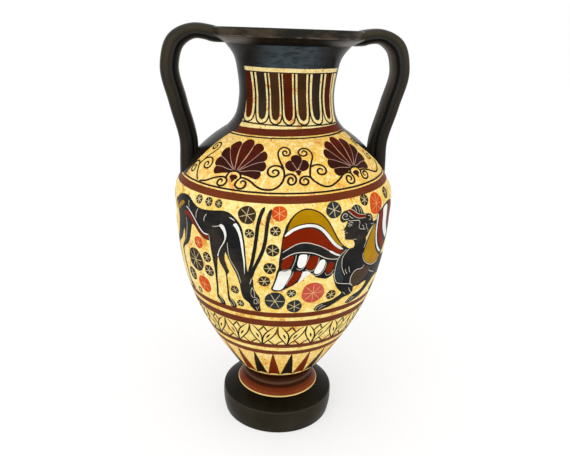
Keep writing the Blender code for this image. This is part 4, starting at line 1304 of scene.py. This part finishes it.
# %% Body and head of the sphinx
CROUCHING_BODY = [
    (27.8, 68.9), (28.6, 66.4), (29.1, 63.3), (28.6, 61.4), (27.2, 60.9), (25.6, 60.8), (23.8, 59),
    (21.8, 56), (20.1, 52.9), (18.8, 49.2), (18.2, 45.6), (18, 41.5), (18.2, 37.5), (18.6, 33.4),
    (19.4, 29.9), (20.2, 26.8), (21.2, 23.7), (22.5, 20.7), (24, 18), (25.1, 16.1), (24.6, 14.4),
    (22.6, 12.6), (20.4, 10.7), (18, 9.4), (15.4, 8.9), (13.3, 8.2), (11.4, 6.5), (10.3, 4), (9.9, 1.8),
    (10.7, 0.7), (15, 0.7), (16.8, 1.8), (18.8, 2.4), (20.8, 4.1), (23.6, 6.7), (26, 8.9), (28.2, 10.1),
    (30.6, 10.5), (32.6, 11.8), (33.5, 13.8), (33.2, 16), (33, 18), (34.2, 18.6), (36.2, 18), (38.4, 18.1),
    (40.9, 19), (43, 19.4), (44.3, 18.2), (44, 16.2), (42.8, 13.6), (41.2, 11.3), (39.4, 9.7), (36.4, 9),
    (33.6, 7.7), (31.2, 4.9), (30, 1.8), (30.8, 0.7), (35.6, 0.7), (38, 1.6), (40.4, 2.6), (42.8, 4.5),
    (45.4, 7.5), (48.4, 10.9), (51, 14.2), (53.4, 16.8), (56.4, 17.7), (59.4, 17.2), (61.9, 15.8),
    (62.7, 12.2), (61.4, 8.9), (58.2, 7.9), (55.2, 5.7), (54, 2.2), (54.8, 0.7), (68, 0.7), (71.6, 3),
    (73.4, 8.1), (74, 14.2), (73.4, 21.3), (71.4, 27.9), (68.4, 32.9), (64.4, 36.5), (59.4, 38.8),
    (54.4, 40), (49.4, 40.5), (45.4, 41.5), (42.4, 44.6), (40.4, 48.6), (38.9, 53.7), (37.9, 58.8),
    (37.2, 63.8), (36.6, 68.4), (35.4, 71.9), (33.4, 72.4), (30.4, 70.4)]
HEAD = [
    (23.6, 87.1), (23.1, 84.7), (22.7, 83.1), (22, 81), (21.4, 79.2), (22.3, 78.2), (22.1, 77),
    (22.6, 76.2), (22.3, 75.2), (22.8, 73.9), (22.6, 72.1), (23.4, 70.3), (25.4, 69.5), (27.8, 68.5),
    (31.4, 66.9), (35.4, 66.4), (37.6, 68.4), (39.2, 72.4), (41, 75.6), (43, 77), (44.6, 79), (44, 80.6),
    (42.4, 80.2), (41.2, 81.4), (40.8, 84.1), (39.8, 87.1), (38, 89.3), (35.8, 90.2), (34, 90.8),
    (33, 93.8), (32, 97), (30.4, 99.5), (28.6, 100.1), (26.8, 98.9), (25.4, 97.1), (23.8, 96.8),
    (21.6, 96.4), (20, 94.2), (19.3, 90.9), (19.7, 87.8), (21.2, 86.3)]
SPHINX_TAIL = [(73.4, 20), (77, 24), (79, 32), (78, 41), (74.8, 45.6), (72, 44.4), (72.2, 41)]
for outline in (LEFT_WING, RIGHT_WING, CROUCHING_BODY, HEAD):
    black.shape(BELLY.at(outline), 3)
black.stroke(BELLY.at(SPHINX_TAIL), 2.6, 8, (0.1, 1.0))
BELLY.paint("frieze_black", black, FIGURE_BLACK, *BOTH_FACES)

# %% Red over the black
def overpaint(label, finish, shapes, strokes=()):
    """Lay one more slip over the black of the animals."""
    drawing = Drawing(SECOND_COAT)
    for outline in shapes:
        drawing.shape(BELLY.at(outline), 4)
    for points, width in strokes:
        drawing.stroke(BELLY.at(points), width)
    BELLY.paint("frieze_" + label, drawing, finish, *BOTH_FACES)


FIGURE_RED = slip("red_over_black_slip", tint(124, 30, 1), tint(132, 40, 12), 0.45)
RED_SHAPES = [
    [(-64.5, 84), (-62, 85), (-60, 84.5), (-58, 82), (-56, 78.5), (-54, 74.5), (-52, 71.3), (-50, 69.0),
     (-48.5, 68.0), (-46.5, 68.2), (-45.4, 67.4), (-45.6, 65.4), (-47, 65.2), (-49, 66.0), (-51.5, 68.4),
     (-54, 71.8), (-56.5, 75.0), (-59, 78.2), (-61.5, 80.2), (-63.8, 80.7), (-65, 82)],
    [(-6.9, 76.5), (-5.1, 79.1), (-3.2, 81.5), (-1.2, 83.1), (1.2, 84.2), (3.6, 84.5), (6.1, 84.1),
     (8, 82.6), (10, 80), (11.7, 76.8), (13.2, 73.6), (14.2, 71.2), (15.4, 69.1), (17.4, 66.2),
     (19.4, 63.5), (21.2, 61.1), (21.7, 59.5), (21.4, 57.9), (19.9, 58.3), (17.9, 60), (15.9, 62),
     (13.4, 64.5), (10.5, 67), (7.5, 69), (5.1, 70.3), (3.2, 71), (0.7, 71.2), (-1.2, 70.4), (-3.2, 69.1),
     (-5.1, 67.3), (-7.1, 65.6)],
    [(-2.4, 59.7), (-2.8, 56.1), (-3.6, 51.2), (-5.1, 47.5), (-7.1, 47.1), (-8, 48.4), (-7.8, 53.1),
     (-6.9, 56.8), (-4.9, 59.5)],
    [(5.9, 58.5), (7.5, 59), (9.2, 57.5), (9.1, 52.6), (8.3, 48.5), (6.6, 46), (4.6, 46.2), (3.5, 48.9),
     (3.8, 52.4), (4.6, 56.3)],
    [(14.6, 50.1), (16.2, 51), (17.6, 49.6), (17.4, 45.6), (16.4, 41.8), (15.2, 40.1), (14.2, 41.1),
     (13.8, 44.6)],
    [(-1.2, 44.8), (0.2, 45.2), (1.5, 44.1), (0.9, 40.2), (-0.7, 35.7), (-2.7, 31.9), (-4.7, 29.5),
     (-5.5, 30.5), (-4.8, 34.1), (-3.2, 39.1)],
    [(48, 87.1), (47.6, 79), (47.7, 70.9), (48.4, 64), (49.7, 58.1), (51.8, 53.1), (54.6, 49.2), (57, 47),
     (58.8, 50.2), (56.8, 54.1), (54.4, 58.8), (52.6, 63.8), (51.6, 69.9), (51.1, 77), (50.7, 84.1),
     (50, 88.1)],
    [(59.4, 90.2), (59.8, 83.1), (60.6, 76), (62, 69.5), (64, 63.8), (66.2, 66.9), (67.8, 71.9), (68.2, 78),
     (67.2, 83.6), (64.7, 87.9), (61.8, 90.4)],
    [(24.4, 97.1), (26.4, 95.6), (28.4, 92.6), (30.9, 90.5), (33.6, 89.3), (35.3, 88.7), (35.1, 87.3),
     (32.4, 87.8), (29.6, 89), (27.2, 91.4), (25.4, 94.2), (23.9, 96.4)]]
overpaint("red", FIGURE_RED, RED_SHAPES)

# %% Ochre over the black
OCHRE = slip("ochre_over_black_slip", tint(168, 121, 1), tint(184, 140, 8), 0.45)
OCHRE_SHAPES = [
    [(-65.6, 92.6), (-64.6, 91.4), (-66, 89), (-69.5, 85.4), (-72.6, 81.6), (-73.4, 83.4), (-71, 88),
     (-67.8, 91.6)],
    [(-5.4, 82.3), (-5.1, 86.1), (-4.1, 90.7), (-2.7, 94.6), (-0.7, 97.9), (1.2, 99.6), (3.3, 100.3),
     (5.2, 99.9), (7.5, 98.4), (9.5, 96.2), (11.4, 92.7), (13.1, 88.7), (14.6, 84.3), (15.9, 79.9),
     (17.2, 75.7), (18.7, 71.4), (20.4, 67.7), (21.8, 65.2), (21.2, 65), (19.4, 67), (17.4, 70.1),
     (15.7, 73.8), (14.2, 77.5), (12.6, 81.3), (11, 84.5), (9, 87.1), (7, 88.5), (4.6, 89.2), (1.7, 88.8),
     (0.1, 88.1), (-1.8, 86.9), (-3.7, 84.8)],
    [(43.8, 77.4), (41.8, 72.9), (40.2, 67.9), (38.4, 61.8), (36.9, 55.2), (36.6, 50.1), (37.4, 46),
     (39.4, 42.1), (42.4, 38.7), (45.8, 36.5), (49.4, 35.7), (52.8, 36.7), (54.4, 40.1), (51.4, 43.6),
     (48.8, 47.4), (46.8, 51.7), (45.6, 56.7), (44.8, 63.8), (44.5, 70.9)]]
overpaint("ochre", OCHRE, OCHRE_SHAPES)

# %% Brown over the black, and a painted blue sheen
BROWN = slip("brown_over_black_slip", tint(68, 54, 40), tint(88, 70, 52), 0.45)
BROWN_SHAPES = [
    [(30.6, 22.8), (29.9, 26.3), (29.8, 29.8), (30.3, 32.8), (31.4, 35.3), (33.2, 36.5), (35.4, 36.1),
     (37.4, 36.3), (39.4, 37.7), (41.9, 36.7), (44.4, 33.4), (45.4, 30.4), (43.4, 26.3), (40.9, 23.1),
     (37.4, 20.5), (33.9, 19.9), (31.8, 20.7)]]
# Painted reflection: a blue-grey sheen laid as a patch on the black of the sphinx's shoulder.
PAINTED_BLUE_SHEEN = slip("painted_blue_sheen_over_black", tint(42, 50, 55), tint(58, 64, 66), 0.45)
BLUE_SHEEN_SHAPES = [
    [(20.6, 53.5), (19.6, 49), (19.3, 43), (19.4, 37), (20.2, 32.5), (21.6, 29.6), (23.8, 28), (24.6, 31.5),
     (23.4, 36), (22.0, 42), (21.8, 48), (22.2, 52.5)]]
overpaint("brown", BROWN, BROWN_SHAPES)
overpaint("blue", PAINTED_BLUE_SHEEN, BLUE_SHEEN_SHAPES)

# %% White over the black
WHITE = slip("white_over_black_slip", tint(247, 246, 241), tint(218, 216, 208), 0.5)
WHITE_SHAPES = [
    [(-37.4, 82.9), (-36.2, 82), (-35.2, 78.8), (-34.7, 74.5), (-35.1, 70.2), (-36.0, 66.3), (-37.3, 62.6),
     (-38.6, 58.8), (-39.6, 54.8), (-40.1, 51.8), (-40.3, 52.2), (-39.9, 55.2), (-39, 59), (-37.7, 62.9),
     (-36.5, 66.6), (-35.8, 70.4), (-35.9, 73.6), (-36.6, 76.8), (-37.8, 79.6), (-38.6, 81.2)],
    [(-30.9, 84.2), (-29.5, 86), (-28.4, 83.8), (-27.3, 79), (-26.6, 73), (-26.1, 66), (-25.8, 59),
     (-25.5, 52), (-25.6, 46), (-25.75, 42), (-25.9, 39), (-26, 42), (-26.05, 46), (-26.2, 52), (-26.7, 59),
     (-27.2, 66), (-27.9, 73), (-28.8, 78.5), (-29.9, 82)],
    [(0.5, 60.5), (2.2, 61), (3.6, 60.5), (3.9, 58.1), (3.6, 54.4), (2.9, 50.4), (1.7, 48.3), (0.1, 48.7),
     (-0.6, 51.3), (-0.3, 56.1)],
    [(10.5, 54.1), (11.9, 54.7), (12.9, 53.2), (12.8, 48.6), (11.9, 44.5), (10.5, 41.7), (8.5, 41.3),
     (7.7, 42.7), (8.2, 46), (9.3, 50.1)],
    [(-8.8, 45), (-6.1, 45.1), (-3.5, 46.3), (-3.5, 43.1), (-4.7, 37.1), (-6, 32.1), (-7.2, 28.2),
     (-8.2, 26.6), (-10.5, 26.2), (-11.9, 27), (-11.5, 30), (-10.6, 35), (-9.8, 40)],
    [(2.3, 44.1), (3.6, 44.9), (5.4, 43.8), (6, 43), (4, 39.7), (1.6, 35.6), (0.1, 33.6), (1.1, 37.6)],
    [(51.8, 88.5), (52, 81), (52.6, 73.9), (53.8, 67.5), (55.6, 62.2), (58.2, 57.7), (60.2, 54.9),
     (62.8, 58.8), (61, 63.2), (59.2, 68.9), (58.2, 75), (57.6, 82.1), (57, 89.8), (54.4, 90)]]
WHITE_STROKES = [
    ([(-62.6, 88.7), (-61, 88.2), (-59, 86.2), (-57, 83.4), (-55.2, 80.4), (-53.5, 77), (-51.8, 73.8),
      (-50, 71.2), (-48.5, 70), (-47, 69.8), (-45.3, 70.1)], 1.1),
    ([(-32.8, 90.2), (-31.4, 89.3), (-30.1, 87.9)], 0.8),
    ([(-6.7, 77.6), (-4.7, 81.1), (-2.7, 83.8), (-0.2, 85.7), (2.7, 86.8), (5.1, 86.8), (7.5, 85.8),
      (9.5, 83.9), (11.4, 80.9), (13.2, 77.1), (14.9, 73), (16.6, 69.3), (18.4, 66.1), (20.4, 63.4),
      (22, 61.8)], 2.5), ([(14.4, 62.4), (16.4, 60.2), (18.4, 58), (21, 56.1)], 1.7),
    ([(46.2, 85.5), (45.9, 78), (45.8, 70.9), (46.3, 63.8), (47.3, 57.7), (48.8, 52.7), (51.4, 48),
      (54.8, 44)], 2.2)]
overpaint("white", WHITE, WHITE_SHAPES, WHITE_STROKES)

# %% Lines scratched in the ibex
SCRATCH = slip("scratched_line", tint(224, 217, 200), tint(184, 174, 154), 0.6)
SCRATCH_FINENESS = 0.68
drawing = Drawing(LINE_COAT)


def scratch(lines):
    """Scratch lines, each with a width of its own, into the animals."""
    for points, width in lines:
        drawing.stroke(BELLY.at(points), SCRATCH_FINENESS * width, 5)
    print(len(lines), "scratched lines")


IBEX_SCRATCHES = [
    ([(-52, 91.3), (-53.2, 88), (-53.8, 85), (-53.7, 82)], 0.9),
    ([(-46, 88.8), (-47.3, 86), (-48, 83.5), (-47.8, 81.3)], 0.9),
    ([(-60, 95.6), (-60.1, 92.4), (-59.4, 89.6)], 0.8),
    ([(-37.2, 82.7), (-39, 80.6), (-41, 79.4), (-42.8, 79)], 0.9),
    ([(-34.4, 67), (-34, 58), (-33, 51), (-31, 45), (-29.5, 39.5), (-28.5, 33), (-28.1, 29.5)], 0.7),
    ([(-45.1, 69.5), (-44.9, 66), (-44.6, 61)], 0.6),
    ([(-63.6, 78), (-63.0, 72), (-63.4, 66), (-64.6, 60), (-66.4, 54)], 0.7),
    ([(-23.2, 20.5), (-22.4, 26.5), (-21.4, 22.5), (-21.9, 15.8), (-22.9, 17.8), (-23.2, 20.5)], 0.6),
    ([(-22, 11.8), (-21.2, 14.2), (-20.2, 12.2), (-20.6, 9.4), (-21.6, 9.2), (-22, 11.8)], 0.6),
    ([(-21.4, 16.8), (-20.2, 15.2), (-19.4, 12.6), (-19.5, 9.6)], 0.6),
    ([(-21.2, 5.6), (-20.6, 3.6), (-20.2, 1.8)], 0.6), ([(-19.9, 6.2), (-19.5, 4.4)], 0.7),
    ([(-23.5, 30), (-22.9, 33), (-22.5, 36)], 0.9), ([(-42.8, 9.5), (-41.6, 6.5), (-40.8, 2.5)], 0.7),
    ([(-43.5, 6.2), (-42.6, 3.4), (-42, 1.6)], 0.6), ([(-35.5, 10), (-34.3, 7), (-33.5, 2.5)], 0.7),
    ([(-36.1, 6.4), (-35.3, 3.4), (-34.7, 1.6)], 0.6)]
scratch(IBEX_SCRATCHES)

# %% Lines scratched in the sphinx
WING_SCRATCHES = [
    ([(-7.7, 63), (-6.1, 65), (-4.1, 67.4), (-2.2, 69.6), (0.2, 71.2), (2.7, 71.6), (5.1, 70.9),
      (7.5, 69.4), (10, 67.4), (12.4, 64.9), (14.4, 62.4)], 0.9),
    ([(-7.7, 56.4), (-6.1, 58.6), (-4.1, 60.7), (-2.2, 62.1), (-0.2, 62.8), (2.2, 62.9), (4.6, 62.4),
      (7, 61.3), (9, 59.8), (11, 57.7), (12.9, 55.8), (15.4, 54.4), (18.4, 53.5), (19.9, 53.3)], 1.0),
    ([(-3.4, 46.8), (-2.6, 50.7), (-1.6, 56.1), (-1.2, 60.9)], 0.6),
    ([(-1, 47.8), (0.9, 46.5), (2.1, 47.9), (3.3, 51.4), (4.3, 56.3), (4.8, 60.2)], 0.6),
    ([(3.4, 46.8), (5.2, 44.8), (7.1, 45), (8.7, 48.5), (9.5, 53.6), (9.7, 56.9)], 0.6),
    ([(6.9, 42.4), (7.9, 40), (10.1, 40.1), (12, 42.5), (13.2, 46.6), (13.6, 51.6)], 0.6),
    ([(13.3, 41.5), (14.4, 38.7), (16.4, 39.3), (17.8, 43.6)], 0.6),
    ([(-8, 46.4), (-5.9, 46.3), (-3.5, 47.3)], 0.6),
    ([(-5.7, 31.5), (-4.5, 36.1), (-3, 41.1), (-2.4, 45.2)], 0.6),
    ([(0, 33.8), (0.9, 37.8), (2, 42.3), (2.1, 45.3)], 0.6)]
BODY_SCRATCHES = [
    ([(25.9, 61.1), (23.8, 57.7), (22.4, 53.7), (22.2, 48.6), (22.6, 43.6), (23.8, 38.9), (25.2, 35)], 0.8),
    ([(19.8, 53.9), (22, 57.7), (24.2, 60.8)], 0.8), ([(27, 43), (27.4, 39.5), (28.2, 36.5)], 0.7),
    ([(24.8, 41.5), (25.4, 38.5), (26.4, 35.9)], 0.7),
    ([(21.2, 56.3), (19.7, 52.7), (19, 48), (18.7, 43.2), (18.8, 36.5), (19.6, 31.8), (21, 28.6),
      (22.2, 27.6), (25.4, 25.8), (29, 23.9), (31, 22.1), (32.2, 19.7)], 0.8),
    ([(30.8, 21.9), (29.6, 25.9), (29.4, 29.8), (30, 33.2), (31.2, 35.9), (33, 37.3), (35.4, 36.7),
      (37.4, 37.1), (38.6, 39.3)], 0.9), ([(44.4, 30.4), (46, 28.4), (48.9, 25.9), (52, 23.9)], 0.8),
    ([(25.8, 16.4), (27, 14.8), (28.2, 12.6)], 0.7),
    ([(29.6, 19.7), (30.4, 16.8), (31.4, 14.6), (32.4, 12.8)], 0.7),
    ([(10.9, 1.3), (11.3, 3.6), (12.6, 5.6), (14.8, 6.6)], 0.6),
    ([(13.0, 1.1), (13.5, 2.9), (14.8, 4.2), (16.6, 4.8)], 0.6),
    ([(31.0, 1.3), (31.6, 3.6), (33.0, 5.6), (35.2, 6.6)], 0.6),
    ([(33.4, 1.1), (33.9, 2.9), (35.2, 4.2), (37.0, 4.8)], 0.6)]
scratch(WING_SCRATCHES + BODY_SCRATCHES)

# %% Lines scratched in the far wing and the head
FAR_WING_SCRATCHES = [
    ([(36, 57.7), (37.2, 62.4), (39.1, 68.4), (40.9, 73.3), (42.8, 77.4)], 0.8),
    ([(36.1, 52.7), (36.1, 48.6), (37.2, 45), (39.4, 41.1), (42.4, 37.9), (45.6, 35.7), (49.4, 34.8),
      (53, 35.9)], 0.9)]
HEAD_SCRATCHES = [
    ([(24.4, 97.8), (26.6, 96.2), (28.7, 93.2), (31.1, 91.1), (33.7, 90.1), (35.4, 89.4)], 0.6),
    ([(23.6, 96.1), (25.1, 93.8), (26.9, 90.9), (29.4, 88.4), (32.4, 87.2), (35, 86.8)], 0.6),
    ([(28, 99.1), (28.4, 96.6), (29.1, 94)], 0.6), ([(29.7, 99.3), (30.3, 96.2), (30.7, 92.8)], 0.6),
    ([(31.3, 97), (31.9, 94), (32.2, 91.6)], 0.6),
    ([(24.2, 89.1), (22.4, 88.7), (21, 89.8), (20.6, 92), (21.4, 93.8), (22.8, 93.6), (23.2, 92),
      (22.3, 91.4)], 0.7), ([(24, 87.7), (25.4, 86.6), (27.4, 86.8), (29.4, 86), (30.6, 86.1)], 0.7),
    ([(24.4, 91.6), (25.4, 89.8), (26.8, 88.5)], 0.6),
    ([(30.4, 86.1), (31.2, 83.1), (30.8, 80), (31.6, 77.6), (33.4, 76.6), (34.8, 75.4)], 0.7),
    ([(32.8, 80.6), (34, 79), (34.2, 77), (35.8, 75.6)], 0.7),
    ([(34.8, 81), (36.2, 79.4), (36.4, 76.8), (37.6, 74.8), (38, 72.1)], 0.7),
    ([(36.4, 87.9), (38.2, 87.3), (39.2, 85.1), (38.6, 83.5), (37.5, 84.1)], 0.7),
    ([(39.4, 79.4), (41, 78.2), (42.4, 78.8)], 0.6),
    ([(23.9, 82.8), (24.9, 83.6), (26.2, 82.8), (25, 82.1), (23.9, 82.8)], 0.5),
    ([(23.7, 84.5), (25.2, 85.2), (27, 84.6)], 0.5), ([(22.7, 76.2), (24, 76.6)], 0.5),
    ([(27.8, 69.3), (30, 68.1)], 0.6), ([(22.1, 79), (22.9, 78.5)], 0.4)]
scratch(FAR_WING_SCRATCHES + HEAD_SCRATCHES)
BELLY.paint("frieze_scratches", drawing, SCRATCH, *BOTH_FACES)

# %% [markdown]
# ## Rosettes
# The painter filled every empty place in the frieze with a round spot, then scratched a star into it.
# Spots of several slips are listed by place and size, and each star has a few spokes of its own turn.

# %% Rosettes
SPOT_DARK = slip("dark_spot_slip", tint(44, 36, 26), tint(72, 57, 38), 0.45, 70.0)
SPOT_BLUE = slip("blue_black_spot_slip", tint(40, 45, 48), tint(58, 60, 58), 0.45, 70.0)
SPOT_ORANGE = slip("orange_spot_slip", tint(202, 68, 16), tint(218, 98, 36), 0.5, 70.0)
SPOT_RED = slip("pale_red_spot_slip", tint(192, 76, 60), tint(206, 106, 86), 0.5, 70.0)
STAR_SCRATCH = slip("scratched_star", tint(226, 208, 158), tint(190, 170, 120), 0.6)
WARM_SCRATCH = slip("scratched_line_in_red", tint(236, 178, 122), tint(222, 140, 84), 0.6)
ROSETTES = {
    "dark": [
        (-52, 99.8, 4.1), (-45.3, 100.0, 4.1), (-39.3, 100.2, 3.7), (-24.2, 94.3, 7.8), (-23, 78.3, 4.1),
        (-11, 82, 4.4), (-12.2, 64.5, 5.5), (-13.5, 47.5, 5.4), (-16.2, 34.5, 5.2), (-57.2, 40, 11.4),
        (-47.7, 47.3, 5.0), (-47, 34, 5.6), (-63.5, 21.5, 6.8), (-32, 21.2, 4.1), (-29.6, 7, 3.7),
        (18.6, 16.7, 5.0), (35.2, 102.4, 5.2), (56.6, 101.0, 5.6), (-59.5, 6, 3.6), (80.4, 52.7, 5.4),
        (86.9, 100.4, 4.0), (89.4, 30.4, 6.0), (78.4, 12.2, 5.0), (92.4, 62.8, 4.2)],
    "blue": [
        (-11, 14.0, 9.5), (-0.9, 7.8, 7.2), (-2.8, 22.6, 4.2), (16.3, 98.5, 7.2), (83.4, 82.1, 7.0),
        (87.9, 45.6, 4.6)],
    "orange": [
        (-9.4, 97.3, 6.4), (-53.2, 59, 5.6), (-53, 16.5, 8.9), (44.0, 96.2, 10.0), (76.9, 96.2, 7.4),
        (83.4, 22.3, 6.4)],
    "red": [
        (8.2, 21.7, 10.8), (76.4, 68.9, 7.2), (89.4, 12.2, 6.4), (91.4, 89.1, 5.6)]}
print(sum(len(spots) for spots in ROSETTES.values()), "rosettes on each face")

# %% Spots and their stars
BIG_SPOT = 9.7
STAR_REACH = 0.93
SPOKE_WIDTH = 0.5
spokes, warm_spokes = Drawing(LINE_COAT), Drawing(LINE_COAT)
for label, finish in (("dark", SPOT_DARK), ("blue", SPOT_BLUE), ("orange", SPOT_ORANGE), ("red", SPOT_RED)):
    drawing = Drawing(FIRST_COAT)
    for turn, height, radius in ROSETTES[label]:
        x = BELLY.at([(turn, height)])[0][0]
        drawing.disc((x, height), radius)
        star = warm_spokes if label in ("orange", "red") else spokes
        arms = 3 if radius < BIG_SPOT else 4
        for arm in range(arms):
            angle = math.pi * arm / arms + 0.9 + 0.37 * turn
            reach = radius * STAR_REACH
            aside = Vector((math.cos(angle), math.sin(angle))) * reach
            star.stroke([(x - aside.x, height - aside.y), (x + aside.x, height + aside.y)], SPOKE_WIDTH)
    BELLY.paint("rosettes_" + label, drawing, finish, *BOTH_FACES)
BELLY.paint("rosette_stars", spokes, STAR_SCRATCH, *BOTH_FACES)
BELLY.paint("rosette_stars_warm", warm_spokes, WARM_SCRATCH, *BOTH_FACES)

# %% [markdown]
# ## Floor and light
# The pot stands on a plain pale floor under large soft lamps, as in a small studio. The floor and the world
# look white to the camera and to reflections, and the lamps stay at a level at which colours look as written.

# %% Floor
FLOOR = 6.0
FLOOR_PALE = (0.97, 0.97, 0.97, 1.0)
FLOOR_WHITE = (0.99, 0.99, 0.99, 1.0)
FLOOR_GLOW = 0.6


def seen_directly(tree):
    """1 for what the camera or a reflection sees, 0 for the light that falls on the pot."""
    path = tree.nodes.new("ShaderNodeLightPath")
    camera_ray, glossy_ray, clear_ray = [Wire(tree, path.outputs["Is " + kind + " Ray"])
                                         for kind in ("Camera", "Glossy", "Transmission")]
    return (camera_ray + glossy_ray + clear_ray).ramp(0.0, 1.0)


floor_mesh = bpy.data.meshes.new("floor")
floor_mesh.from_pydata([(-FLOOR, -FLOOR, 0), (FLOOR, -FLOOR, 0), (FLOOR, FLOOR, 0), (-FLOOR, FLOOR, 0)],
                       [], [(0, 1, 2, 3)])
floor = bpy.data.objects.new("floor", floor_mesh)
bpy.context.scene.collection.objects.link(floor)
floor_finish, tree, shader = new_finish("pale_floor")
dust = noise(tree, object_place(tree), 9.0, 3.0)
pale = mixed(tree, dust.ramp(0.3, 0.7), FLOOR_PALE, FLOOR_WHITE)
tree.links.new(pale.socket, shader.inputs["Base Color"])
shader.inputs["Roughness"].default_value = 0.9
white = tree.nodes.new("ShaderNodeEmission")
blend = tree.nodes.new("ShaderNodeMixShader")
tree.links.new((seen_directly(tree) * FLOOR_GLOW).socket, blend.inputs[0])
tree.links.new(shader.outputs[0], blend.inputs[1])
tree.links.new(white.outputs[0], blend.inputs[2])
tree.links.new(blend.outputs[0], tree.nodes["Material Output"].inputs["Surface"])
floor_mesh.materials.append(floor_finish)
print("floor", 2 * FLOOR, "m wide")

# %% World and lamps
WORLD_LIGHT = 0.55
world = bpy.data.worlds.new("studio")
bpy.context.scene.world = world
world.use_nodes = True
tree = world.node_tree
strength = seen_directly(tree) * (1.0 - WORLD_LIGHT) + WORLD_LIGHT
background = tree.nodes["Background"]
background.inputs["Color"].default_value = (1.0, 1.0, 1.0, 1.0)
tree.links.new(strength.socket, background.inputs["Strength"])


def lamp(name, place, aim, size, power):
    """A soft flat lamp that faces one point."""
    data = bpy.data.lights.new(name, "AREA")
    data.shape = "RECTANGLE"
    data.size, data.size_y = size
    data.energy = power
    item = bpy.data.objects.new(name, data)
    item.location = place
    item.rotation_mode = "QUATERNION"
    item.rotation_quaternion = (Vector(aim) - Vector(place)).to_track_quat("-Z", "Y")
    bpy.context.scene.collection.objects.link(item)


sky = bpy.data.lights.new("sky_lamp", "SUN")
sky.energy = 1.6
sky.angle = math.radians(70)
item = bpy.data.objects.new("sky_lamp", sky)
item.rotation_euler = (math.radians(14), math.radians(-8), 0.0)
bpy.context.scene.collection.objects.link(item)
MIDDLE = (0.0, 0.0, 0.2)
lamp("key_lamp", (-0.9, -1.3, 1.3), MIDDLE, (0.9, 0.9), 4.0)
lamp("fill_lamp", (1.3, -0.9, 0.7), MIDDLE, (0.9, 1.2), 2.0)
print("studio lit")

# %% Tidy up
bpy.data.objects.remove(SKIN_TRACK)
